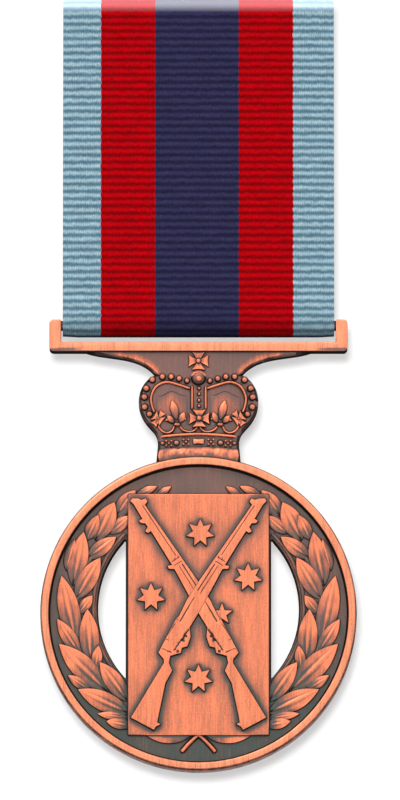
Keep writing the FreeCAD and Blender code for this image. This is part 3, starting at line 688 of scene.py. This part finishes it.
def raise_patch(shape, rows, columns, ground, place):
    """A raised patch: place(s, t) gives x and z in millimetres from the disc's middle, the height
    and the wear or painted shade there. Its sides spread to the ground with a die's draft, painted dark
    as shade, and it is closed below."""
    wear_and_shade = shape.verts.layers.float["wear_and_shade"]
    made = bmesh.ops.create_grid(shape, x_segments=rows, y_segments=columns, size=0.5)["verts"]
    for corner in made:
        x, z, height, tone = place(corner.co.x + 0.5, corner.co.y + 0.5)
        corner.co = (x * mm, ground - height * mm, disc_z + z * mm)
        corner[wear_and_shade] = tone
    bmesh.ops.remove_doubles(shape, verts=made, dist=0.002 * mm)
    edges = {e for v in made if v.is_valid for e in v.link_edges if e.is_boundary}
    outward = {}
    for edge in edges:
        first, last = edge.verts
        away = (last.co - first.co).cross(Vector((0, 1, 0))).normalized()
        if away.dot((first.co + last.co) / 2 - edge.link_faces[0].calc_center_median()) < 0:
            away = -away
        for corner in edge.verts:
            outward[corner] = outward.get(corner, Vector()) + away
    skirt = bmesh.ops.extrude_edge_only(shape, edges=list(edges))["geom"]
    for corner in skirt:
        if isinstance(corner, bmesh.types.BMVert):
            above = next(e.other_vert(corner) for e in corner.link_edges if e.other_vert(corner) in outward)
            corner.co += outward[above].normalized() * draft
            corner.co.y = ground + sunk
            corner[wear_and_shade] = draft_wall_shade
    bmesh.ops.holes_fill(shape, edges=[e for e in skirt if isinstance(e, bmesh.types.BMEdge)], sides=0)


def along(points, share):
    """A place on the smooth line through the points, and the line's direction there."""
    reach = share * (len(points) - 1)
    i = min(int(reach), len(points) - 2)
    t = reach - i
    p0, p1, p2, p3 = (Vector(points[max(min(j, len(points) - 1), 0)]) for j in (i - 1, i, i + 1, i + 2))
    place = 0.5 * (2 * p1 + (p2 - p0) * t + (2 * p0 - 5 * p1 + 4 * p2 - p3) * t * t
                   + (3 * p1 - p0 - 3 * p2 + p3) * t * t * t)
    way = (p2 - p0) + 2 * (2 * p0 - 5 * p1 + 4 * p2 - p3) * t + 3 * (3 * p1 - p0 - 3 * p2 + p3) * t * t
    return place, way.normalized()


def raise_wire(shape, points, width, height, ground, tone=0.1, lift=0.0):
    """A half-round wire with rounded ends, laid along a smooth line through the points."""
    length = sum((Vector(a) - Vector(b)).length for a, b in zip(points, points[1:]))

    def place(s, t):
        here, way = along(points, s)
        from_end = min(min(s, 1 - s) * length / (width / 2), 1)
        taper = math.sqrt(max(1 - (1 - from_end) ** 2, 0))
        offset = (t - 0.5) * width * taper
        rise = lift + height * math.sin(math.pi * t) ** 0.7 * taper
        return here.x - way.y * offset, here.y + way.x * offset, rise, tone
    raise_patch(shape, max(6, 6 * (len(points) - 1)), 6, ground, place)


def raise_pearl(shape, x, z, radius, ground, rise=0.75, detail=2, tone=0.0):
    """A round boss, half sunk in the ground, with painted shade darkening its lower side."""
    wear_and_shade = shape.verts.layers.float["wear_and_shade"]
    ball = bmesh.ops.create_icosphere(shape, subdivisions=detail, radius=1.0)["verts"]
    for corner in ball:
        # Painted shade: the boss darkens towards its lower side.
        corner[wear_and_shade] = tone - 0.2 * (1 - corner.co.z)
        corner.co = (x * mm + corner.co.x * radius * mm, ground + corner.co.y * radius * rise * mm,
                     disc_z + z * mm + corner.co.z * radius * mm)


def raise_cross(shape, x, z, span_x, span_z, height, lean=0.0, flare=0.66):
    """A cross whose four arms widen outwards with hollow sides and slightly hollow ends."""
    neck = 0.16
    for turn in range(4):
        angle = math.pi / 2 * turn

        def place(s, t):
            u = 2 * t - 1
            out = s * (1 - 0.1 * (1 - u * u))
            aside = u * (neck + (flare - neck) * s ** 1.7)
            px = (out * math.cos(angle) - aside * math.sin(angle)) * span_x
            pz = (out * math.sin(angle) + aside * math.cos(angle)) * span_z
            rise = height * (0.72 + 0.28 * s - 0.12 * (1 - u * u))
            leant_x = x + px * math.cos(lean) - pz * math.sin(lean)
            leant_z = z + px * math.sin(lean) + pz * math.cos(lean)
            return leant_x, leant_z, rise, 0.12 - 0.35 * (1 - s)
        raise_patch(shape, 5, 4, crown_y, place)
    raise_pearl(shape, x, z, 0.3 * span_x, crown_y - height * 0.6 * mm, rise=0.9)


def struck(name, shape, stands_for, crease):
    """Seats one piece of the crown's relief."""
    bmesh.ops.translate(shape, verts=shape.verts, vec=(0, 0, crown_rise))
    seat(name, shape, bright_bronze, "medal", "bronze_relief", stands_for, crease=crease)


def mirrored(points, side):
    """The same points on the crown's or the disc's other side, where side is -1."""
    return [(side * x, z) for x, z in points]


cross = new_relief()
raise_cross(cross, 0.0, 30.5, 1.2, 1.08, 0.36)
struck("yoke_cross_struck", cross, "yoke_cross", crease=40)

cross = new_relief()
raise_cross(cross, 0.1, 23.5, 1.22, 1.05, 0.5)
raise_pearl(cross, 0.1, 23.5, 0.38, crown_y - 0.36 * mm, rise=0.9, detail=3)
struck("front_cross_struck", cross, "crown_front_cross", crease=40)

cross = new_relief()
for side in (-1, 1):
    raise_cross(cross, side * 4.85, 23.5, 0.62, 0.98, 0.42, lean=side * 0.62)
    raise_pearl(cross, side * 4.95, 22.95, 0.26, crown_y - 0.25 * mm)
struck("side_crosses_struck", cross, "crown_side_crosses", crease=40)

orb_band = ((-0.78, 28.62), (-0.45, 28.98), (0.0, 29.1), (0.45, 28.98), (0.78, 28.62))
orb = new_relief()
raise_pearl(orb, 0.0, 28.45, 0.92, crown_y, rise=0.72, detail=3, tone=-0.5)
raise_pearl(orb, 0.05, 28.3, 0.44, crown_y - 0.45 * mm, rise=0.8, detail=3, tone=0.1)
raise_wire(orb, orb_band, 0.26, 0.14, crown_y - 0.34 * mm, 0.2)
struck("orb_struck", orb, "crown_orb", crease=60)

arch_pearls = ((1.38, 28.1, 0.36), (2.33, 28.35, 0.38), (3.3, 28.57, 0.4), (4.35, 28.57, 0.4),
               (5.55, 28.2, 0.4), (6.28, 27.16, 0.42), (6.5, 26.1, 0.42), (6.46, 24.9, 0.42),
               (5.9, 24.04, 0.4))
pearl_ground = crown_y - 0.02 * mm
for side, word in ((-1, "left"), (1, "right")):
    pearls = new_relief()
    for x, z, radius in arch_pearls:
        raise_pearl(pearls, side * x, z, radius * 1.12, pearl_ground, rise=0.95)
    struck("arch_pearls_" + word, pearls, "crown_pearls_" + word, crease=60)

pearls = new_relief()
for z in (27.2, 26.5, 25.72, 25.02):
    raise_pearl(pearls, 0.08, z, 0.28, pearl_ground, rise=0.95)
struck("centre_pearls_struck", pearls, "crown_centre_pearls", crease=60)

arch_line = ((0.92, 27.12), (2.3, 27.6), (3.85, 27.95), (5.1, 27.4), (5.7, 26.2), (5.62, 25.1), (5.3, 24.2))
arches = new_relief()
for side in (-1, 1):
    raise_wire(arches, mirrored(arch_line, side), 0.46, 0.36, crown_y)
struck("arches_struck", arches, "crown_arches", crease=60)

posts = new_relief()
for side in (-1, 1):
    x = 0.05 + side * 0.82
    raise_wire(posts, ((x, 27.55), (x, 26.1), (x, 24.5)), 0.42, 0.36, crown_y)
struck("centre_posts_struck", posts, "crown_centre_posts", crease=60)

# The cap's soft cushions bulge a little between the arches. Painted shade darkens their edges and a painted
# highlight brightens their middle.
cushion_start = 1.35
cushion_width = 3.75
cushions = new_relief()
for side in (-1, 1):
    def cushion(s, t):
        """One cushion, s across from the middle post and t up from the swags."""
        x = cushion_start + cushion_width * s
        top = 26.25 + 0.62 * math.exp(-((x - 3.25) / 0.95) ** 2) - 0.06 * (x - cushion_start)
        foot = 22.6 + 0.25 * (x - cushion_start)
        s, t = min(max(s, 0.0), 1.0), min(max(t, 0.0), 1.0)
        # Painted highlight and shade, as on a rounded bulge.
        bulge_highlight = math.sin(math.pi * s) ** 0.5 * math.sin(math.pi * t ** 1.4) ** 0.5
        shallow = min(1.0, 6 * s, 6 * (1 - s), 4 * t)
        return side * x, foot + (top - foot) * t, 0.03 + 0.13 * shallow, -0.2 + 0.72 * bulge_highlight
    raise_patch(cushions, 16, 16, crown_y, cushion)
bmesh.ops.translate(cushions, verts=cushions.verts, vec=(0, 0, crown_rise))
seat("crown_cushions", cushions, dark_bronze, "medal", "bronze_ground", crease=60)


def raise_leaf(shape, base, tip, width, ground, low=0.1, high=0.42, dome=0.1, rib=0.07, hold=None,
               vein=1.0):
    """A pointed leaf that lifts from its base to its tip, with a rib between two hollows. Its base and
    the half on one side of its rib are painted in shade. vein is how strongly the rib and hollows show,
    and hold keeps the leaf's corners where they may be."""
    base, tip = Vector(base), Vector(tip)
    way = tip - base
    across = Vector((-way.y, way.x)).normalized()
    hollow_at = 0.3
    hollow_width = 0.1
    rib_width = 0.13

    def place(s, t):
        u = 2 * t - 1
        full = 1 - abs(2 * s - 1) ** (2.0 if s > 0.5 else 2.6)
        here = base + way * s + across * (u * full * width / 2)
        if hold:
            here = hold(here)
        ridge = vein * math.exp(-(u / rib_width) ** 2) * (1 - s * s)
        hollows = sum(math.exp(-((u - edge) / hollow_width) ** 2) for edge in (hollow_at, -hollow_at))
        hollows *= vein * (1 - s) ** 0.6
        fine = vein * math.sin(u * 17 + 3 * s) * 0.012 * (1 - s)
        rise = low + (high - low) * s ** 0.8 + dome * (1 - u * u) * full
        rise += rib * (ridge - 0.6 * hollows) + fine
        uneven = noise.noise(Vector((here.x * 0.9, here.y * 0.9, 3.0))) * 0.25
        # Painted shade: the leaf is darkened towards its base, and on one side of its rib.
        base_shade = 0.9 * max(0.0, 1 - s / 0.67) ** 0.9
        tone = uneven - base_shade - 0.95 * hollows * (1 - s) ** 0.4 + 0.5 * ridge
        return here.x, here.y, max(rise, 0.02), tone + 0.15 * s - 0.26 * max(u, 0.0)
    raise_patch(shape, 20, 20, ground, place)


fleur_leaves = (
    (2.62, 23.35, 3.2, 25.72, 0.95, 0.3, 0.42, 0.16), (2.95, 22.95, 3.75, 23.85, 0.72, 0.25, 0.42, 0.14),
    (3.35, 23.7, 4.0, 23.2, 0.42, 0.25, 0.3, 0.1), (2.25, 22.95, 1.72, 24.25, 0.8, 0.25, 0.42, 0.14),
    (2.0, 23.75, 1.45, 23.35, 0.42, 0.25, 0.3, 0.1),
)
fleur_band = ((2.2, 22.78), (2.6, 22.8), (3.0, 22.78))
fleurs = new_relief()
for side in (-1, 1):
    for x0, z0, x1, z1, width, low, high, dome in fleur_leaves:
        raise_leaf(fleurs, (side * x0, z0), (side * x1, z1), width, crown_y, low=low, high=high, dome=dome,
                   vein=0)
    raise_wire(fleurs, mirrored(fleur_band, side), 0.56, 0.5, crown_y, 0.25)
struck("fleurs_struck", fleurs, "crown_fleurs", crease=50)

inner_swag = ((0.12, 22.6), (0.45, 22.1), (1.1, 21.9), (1.85, 22.1), (2.3, 22.6))
outer_swag = ((2.9, 22.6), (3.2, 22.0), (3.75, 21.76), (4.4, 22.0), (4.95, 22.75))
swags = new_relief()
for side in (-1, 1):
    for swag in (inner_swag, outer_swag):
        raise_wire(swags, mirrored(swag, side), 0.4, 0.32, crown_y)
struck("swags_struck", swags, "crown_swags", crease=60)

circlet_line = ((-4.6, 21.3), (-2.4, 21.52), (0.0, 21.62), (2.4, 21.52), (4.6, 21.3))
circlet = new_relief()
raise_wire(circlet, circlet_line, 0.52, 0.36, crown_y, 0.2)
struck("circlet_wire_struck", circlet, "circlet_wire", crease=60)


def table_jewel(s, t):
    """The broad flat jewel in the circlet's middle."""
    height = 0.3 + 0.1 * math.sin(math.pi * s) * math.sin(math.pi * t)
    return 1.24 * (s - 0.5), 20.72 + 0.56 * (t - 0.5), height, 0.2


cluster = ((-0.3, 0.3), (0.3, 0.3), (0.0, 0.0), (-0.3, -0.3), (0.3, -0.3))
jewels = new_relief()
for side in (-1, 1):
    raise_pearl(jewels, side * 4.3, 20.5, 0.3, crown_y, rise=0.9)
    for x, z in ((3.57, 20.5), (1.5, 20.66)):
        for dx, dz in cluster:
            raise_pearl(jewels, side * x + dx, z + dz, 0.2, crown_y - 0.03 * mm, rise=1.4, detail=1, tone=0.5)
    raise_pearl(jewels, side * 2.65, 20.55, 0.42, crown_y, rise=0.7)
raise_patch(jewels, 6, 6, crown_y, table_jewel)
struck("jewels_struck", jewels, "circlet_jewels", crease=50)

fur_half_width = 4.68
rim_crest = 18.9
fur = new_relief()


def fur_band(s, t):
    """The ermine, s along it and t up it, lumpy and dark in its dips."""
    x = fur_half_width * (2 * s - 1)
    lump = 0.09 * noise.noise(Vector((x * 1.4, t * 1.2, 1.0)))
    foot = math.sqrt(rim_crest ** 2 - x * x) - 0.15
    top = 19.95 - 0.012 * x * x + 0.8 * lump
    fine_lump = 0.08 * noise.noise(Vector((x * 4, t * 3, 5.0)))
    rise = 0.62 - 0.12 * t + 0.06 * math.sin(math.pi * t) + lump + fine_lump
    broad_dips = max(0.0, noise.noise(Vector((x * 1.1, t * 1.6, 9.0)))) * -0.9
    fine_dips = max(0.0, noise.noise(Vector((x * 5, t * 2, 2.0)))) * -1.1 * (1 - t)
    dark_top = -0.7 * max(0.0, t - 0.8) / 0.2
    widened = x * (1 + 0.03 * math.sin(math.pi * t))
    return widened, foot + (top - foot) * t, rise, 0.1 + dark_top + broad_dips + fine_dips


raise_patch(fur, 60, 10, crown_y, fur_band)
struck("ermine_struck", fur, "ermine_band", crease=50)


# ---- Disc ----
# A raised plain rim, turned bright on its flat, round a dark field pierced by two openings. Each
# opening has a narrow ledge along its curved side.
rim_outer = 19.0
rim_inner = 18.0
rim_back = disc_high.y
rim_front = disc_low.y
rim_profile = ((rim_outer, rim_back), (rim_outer, rim_front + 0.42 * mm), (18.93, rim_front + 0.2 * mm),
               (18.82, rim_front + 0.06 * mm), (18.74, rim_front + 0.015 * mm), (18.66, rim_front),
               (18.16, rim_front), (18.06, rim_front + 0.04 * mm), (18.01, rim_front + 0.12 * mm),
               (rim_inner, rim_front + 0.3 * mm), (rim_inner, rim_back))
# The rounded outer edge carries a little wear, and is painted brighter high on the disc and darker at its
# foot, as painted light and shade from above.
outer_wear_and_shade = (0.26, 0.26, 0.0, -0.3)
rim = new_relief()
wear_and_shade = rim.verts.layers.float["wear_and_shade"]
corners = [rim.verts.new((radius * mm, y, disc_z)) for radius, y in rim_profile]
for corner, tone in zip(corners, outer_wear_and_shade):
    corner[wear_and_shade] = tone
outline = [rim.edges.new((a, b)) for a, b in zip(corners, corners[1:] + corners[:1])]
bmesh.ops.spin(rim, geom=corners + outline, cent=(0, 0, disc_z), axis=(0, 1, 0), angle=2 * math.pi, steps=180,
               use_merge=True, use_duplicate=False)
# Painted light and shade: the outer edge brightens towards the top of the disc and darkens towards its foot.
for corner in rim.verts:
    below = (disc_z - corner.co.z) / (rim_outer * mm)
    if corner[wear_and_shade] < 0:
        corner[wear_and_shade] = corner[wear_and_shade] * max(0.0, 0.5 + below) + 0.6 * max(0.0, -below)
seat("rim_turned", rim, edge_bronze, "medal", "bronze_relief", "rim_ring", crease=50)


def spread_foot(shape, foot_y, run, drop=0.0, within=rim_outer):
    """Spreads a piece's walls outwards at their foot, as a die's draft leaves them. run(outward) says
    how far, and only corners within this radius of the disc's middle move."""
    shape.normal_update()
    feet = {}
    for corner in shape.verts:
        if corner.co.y > foot_y - 0.01 * mm and math.hypot(corner.co.x, corner.co.z - disc_z) < within * mm:
            walls = [f.normal for f in corner.link_faces if abs(f.normal.y) < 0.5]
            outward = sum(walls, Vector()).normalized()
            feet[corner] = corner.co + outward * run(outward) + Vector((0, drop, 0))
    for corner, foot in feet.items():
        corner.co = foot


field_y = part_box("disc_field")[0].y
opening_draft = 0.15 * mm
field = blank_of("disc_field")
spread_foot(field, rim_back, lambda outward: opening_draft, within=17)
ease(field, 0.2 * mm, segments=1)
# Painted shade: the walls of the openings are painted black.
shade_walls_black(field, field_y, rim_back)
seat("disc_ground", field, dark_bronze, "medal", "bronze_ground", "disc_field")

opening_centre = 0.7
opening_radius = 12.66
opening_side = 8.75
ledge_steps = 12
ledge = new_relief()
for side in (-1, 1):
    start = math.asin(opening_side / opening_radius)
    line = []
    for i in range(ledge_steps + 1):
        angle = start + (math.pi - 2 * start) * i / ledge_steps
        x, z = opening_radius * math.sin(angle), opening_centre + opening_radius * math.cos(angle)
        line.append((side * x, z))
    raise_wire(ledge, line, 0.56, 0.2, field_y, -0.65)
seat("opening_ledges_struck", ledge, bright_bronze, "medal", "bronze_relief", "opening_ledges", crease=60)


# ---- Plaque, stars and rifles ----
# A flat plaque fills the disc's middle. The arms and stars on it are flat-topped, struck a little
# proud, with scored lines that show dark.
panel_bronze = antiqued("bronze_panel", 0.9, 1.0, 2.2 * mm, 0.87, 0.992)
plaque_low, plaque_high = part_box("centre_plaque")
plaque = blank_of("centre_plaque")
ease(plaque, 0.12 * mm)
wear_and_shade = plaque.verts.layers.float["wear_and_shade"]
# Painted shade: the plaque's side walls are painted black.
for corner in plaque.verts:
    if abs(corner.co.x) > plaque_high.x - 0.06 * mm and corner.co.y < rim_back - 0.02 * mm:
        corner[wear_and_shade] = -1.0
seat("plaque_struck", plaque, panel_bronze, "medal", "bronze_relief", "centre_plaque")


def wall_run(outward):
    """The draft of a star's or rifle's wall, which is wider on walls that look down."""
    return (0.095 + 0.05 * max(0.0, -outward.z)) * mm


star_growth = 1.07
for star_name in ("star_top", "star_left", "star_right", "star_bottom", "star_small"):
    star = blank_of(star_name)
    star_low, star_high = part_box(star_name)
    bmesh.ops.scale(star, verts=star.verts, vec=(star_growth, 1, star_growth),
                    space=Matrix.Translation(-(star_low + star_high) / 2))
    ease(star, 0.025 * mm, segments=1, seat_y=star_high.y)
    spread_foot(star, star_high.y, wall_run, drop=sunk)
    seat(star_name + "_struck", star, bright_bronze, "medal", "bronze_relief", star_name)


def score(shape, start, end, width, floor=0.0):
    """Cuts a straight groove into a piece's flat top, from start to end, with so much wear inside, or painted
    shade where that is negative.
    """
    wear_and_shade = shape.verts.layers.float["wear_and_shade"]
    top = min(v.co.y for v in shape.verts)
    a, b = (Vector((x * mm, top, disc_z + z * mm)) for x, z in (start, end))
    way = (b - a).normalized()
    across = way.cross(Vector((0, 1, 0)))
    aside = across * width / 2

    def flat_top():
        faces = [f for f in shape.faces if abs(f.normal.y) > 0.99]
        return [f for f in faces if abs(f.calc_center_median().y - top) < 0.004 * mm]

    for point, normal in ((a + aside, across), (a - aside, across), (a, way), (b, way)):
        slice_faces(shape, flat_top(), point, normal)
    cut = []
    for face in flat_top():
        from_start = face.calc_center_median() - a
        if 0 < from_start.dot(way) < (b - a).length and abs(from_start.dot(across)) < width / 2:
            cut.append(face)
    if cut:
        for face in cut:
            face.normal_update()
        bmesh.ops.inset_region(shape, faces=cut, thickness=0.012 * mm, depth=-score_depth, use_boundary=True,
                               use_even_offset=True)
        for corner in {v for face in cut for v in face.verts}:
            corner[wear_and_shade] = floor


# Each line is its start, its end and its width, in millimetres, and the gaps are painted black as shade.
score_depth = 0.1 * mm
lines = (((6.72, 13.02), (2.75, 7.0), 0.09), ((2.28, 6.8), (3.2, 6.2), 0.08),
         ((2.05, 6.3), (2.95, 5.75), 0.08), ((-0.55, 1.85), (-2.25, -1.0), 0.1),
         ((-2.5, -0.8), (-3.1, -0.45), 0.08), ((1.95, 5.95), (-0.1, 2.7), 0.13),
         ((2.35, 5.75), (0.2, 2.3), 0.07), ((-2.8, -1.25), (-4.1, -3.3), 0.07),
         ((-4.4, -4.25), (-3.2, -4.75), 0.08), ((-3.9, -3.1), (-3.55, -3.3), 0.07))
gaps = (((-0.75, -1.45), (-2.95, -4.5), 0.13), ((-1.83, -2.7), (-1.36, -2.84), 0.24),
        ((-2.2, -3.24), (-1.66, -3.38), 0.24), ((-2.66, -4.63), (-2.34, -4.6), 0.28))
for gun_name, side in (("rifle_front", 1), ("rifle_rear", -1)):
    gun = blank_of(gun_name)
    gun_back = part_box(gun_name)[1].y
    ease(gun, 0.05 * mm, seat_y=gun_back)
    spread_foot(gun, gun_back, wall_run, drop=sunk)
    for cuts, floor in ((lines, 0.0), (gaps, -1.0)):
        for (x0, z0), (x1, z1), width in cuts:
            score(gun, (side * x0, z0), (side * x1, z1), width * mm, floor)
    seat(gun_name + "_struck", gun, bright_bronze, "medal", "bronze_relief", gun_name)


# ---- Wreath ----
# Laurel leaves lie over one another up each side of the openings, each lifting from its base,
# painted in shade, to a bright tip, and two stems cross below the plaque.
leaves = (
    (-9.9, 11.9, -7.6, 14.95, 1.9), (-13.5, 8.9, -12.05, 11.95, 1.5), (-12.4, 8.9, -10.1, 13.5, 2.4),
    (-8.6, 11.9, -8.3, 14.0, 1.2), (-10.7, 9.7, -8.1, 11.9, 1.4), (-15.9, 5.2, -14.9, 9.05, 1.3),
    (-13.46, 6.7, -9.9, 9.3, 1.75), (-15.1, 3.4, -13.8, 9.9, 2.3), (-14.8, 1.7, -11.8, 6.8, 2.2),
    (-14.4, 0.0, -12.75, 2.2, 1.25), (-14.7, -3.5, -16.45, 4.6, 2.5), (-14.2, -5.0, -16.95, -0.65, 1.7),
    (-12.9, -5.9, -13.35, 0.55, 2.3), (-12.4, -6.9, -12.0, -3.85, 1.25), (-12.9, -9.3, -15.7, -7.45, 1.2),
    (-10.9, -9.4, -16.75, -3.65, 2.7), (-8.4, -10.6, -11.85, -5.85, 2.1), (-8.3, -12.6, -12.1, -12.1, 1.0),
    (-8.3, -12.0, -14.45, -9.15, 2.3), (-8.0, -13.5, -11.05, -13.0, 1.3),
)
stem_line = ((-8.4, -13.0), (-12.2, -8.6), (-14.6, -3.2), (-14.4, 3.0), (-11.6, 9.2), (-8.6, 12.4))
opening_clear = 12.3
opening_from = 8.3
rim_clear = 17.8
broad_leaf = 1.5


def off_opening(here):
    """Holds a leaf's corner on the field, clear of the opening and the rim."""
    out = Vector((here.x, here.y - opening_centre))
    if abs(here.x) > opening_from and out.length < opening_clear:
        out = out.normalized() * opening_clear
        here = Vector((out.x, out.y + opening_centre))
    if here.length > rim_clear:
        here = here.normalized() * rim_clear
    return here


for side, word in ((-1, "left"), (1, "right")):
    wreath = new_relief()
    raise_wire(wreath, mirrored(stem_line, -side), 0.7, 0.2, field_y, -0.4)
    for x0, z0, x1, z1, width in leaves:
        rib = 0.07 if width > broad_leaf else 0.03
        raise_leaf(wreath, (-side * x0, z0), (-side * x1, z1), width, field_y, hold=off_opening, rib=rib)
    seat("wreath_" + word + "_struck", wreath, bright_bronze, "medal", "bronze_relief", "wreath_" + word,
         crease=50)

plaque_top = (plaque_high.z - disc_z) / mm
plaque_foot = (plaque_low.z - disc_z) / mm
cut_stem = [(x, plaque_foot + z) for x, z in ((0.3, 0.3), (-0.55, -0.35), (-1.3, -1.1), (-2.1, -2.05))]
sprig = new_relief()
for side in (-1, 1):
    raise_leaf(sprig, (side * 0.8, plaque_foot + 0.15), (side * 6.4, plaque_foot + 0.12), 2.1, field_y,
               low=0.25, high=0.3, rib=0.0)
    for x0, z0, x1, z1, width in ((7.7, -0.25, 4.95, 0.95, 0.95), (5.2, -0.3, 3.3, 0.9, 0.8)):
        raise_leaf(sprig, (side * x0, plaque_top + z0), (side * x1, plaque_top + z1), width, field_y,
                   rib=0.03)
    raise_wire(sprig, mirrored(cut_stem, side), 0.64, 0.42, field_y, 0.0, lift=0.05)
seat("sprig_struck", sprig, bright_bronze, "medal", "bronze_relief", "wreath_sprig", crease=50)


# ---- Brooch ----
# A lacquered brass plate with a hinge block, a catch post and its turning roller, and a hard-drawn
# steel pin on a rivet. The ribbon's fold hides the plate from the front.

def plain_metal(name, colour, rough, grain_size):
    """A drawn or stamped metal. A faint grain and handling marks vary its colour and its shine."""
    material, tree = new_material(name)
    place = add_node(tree, "TexCoord", {}, "Object")
    grain = add_node(tree, "TexNoise", {"Vector": place, "Scale": 1 / grain_size, "Detail": 4.0})
    darker = [share * 0.72 for share in tint(colour)[:3]] + [1.0]
    tone = add_node(tree, "Mix", {"data_type": "RGBA", 0: grain, 6: darker, 7: tint(colour)}, 2)
    roughness = add_node(tree, "MapRange", {"Value": grain, "To Min": rough - 0.08, "To Max": rough + 0.12})
    raised = add_node(tree, "Bump", {"Strength": 0.15, "Distance": 0.02 * mm, "Height": grain})
    surface = add_node(tree, "BsdfPrincipled", {"Base Color": tone, "Metallic": 1.0, "Roughness": roughness,
                                                "Normal": raised})
    add_node(tree, "OutputMaterial", {"Surface": surface})
    return material


brass = plain_metal("brooch_brass", "d8b25f", 0.26, 0.8 * mm)
steel = plain_metal("pin_steel", "b9bcc0", 0.2, 0.3 * mm)
fittings = (("brooch_plate", brass, "brooch", "brooch_brass", 0.0),
            ("pin_hinge_block", brass, "brooch", "brooch_brass", 0.1),
            ("catch_post", brass, "brooch", "brooch_brass", 0.06),
            ("catch_roller", brass, "catch", "brooch_brass", 0.04),
            ("hinge_rivet", steel, "brooch", "pin_steel", 0.06),
            ("brooch_pin", steel, "pin", "pin_steel", 0.03))
for node_name, material, body, slot, rounding in fittings:
    fitting = blank_of(node_name)
    if rounding:
        ease(fitting, rounding * mm)
    seat(node_name + "_made", fitting, material, body, slot, node_name, crease=30)
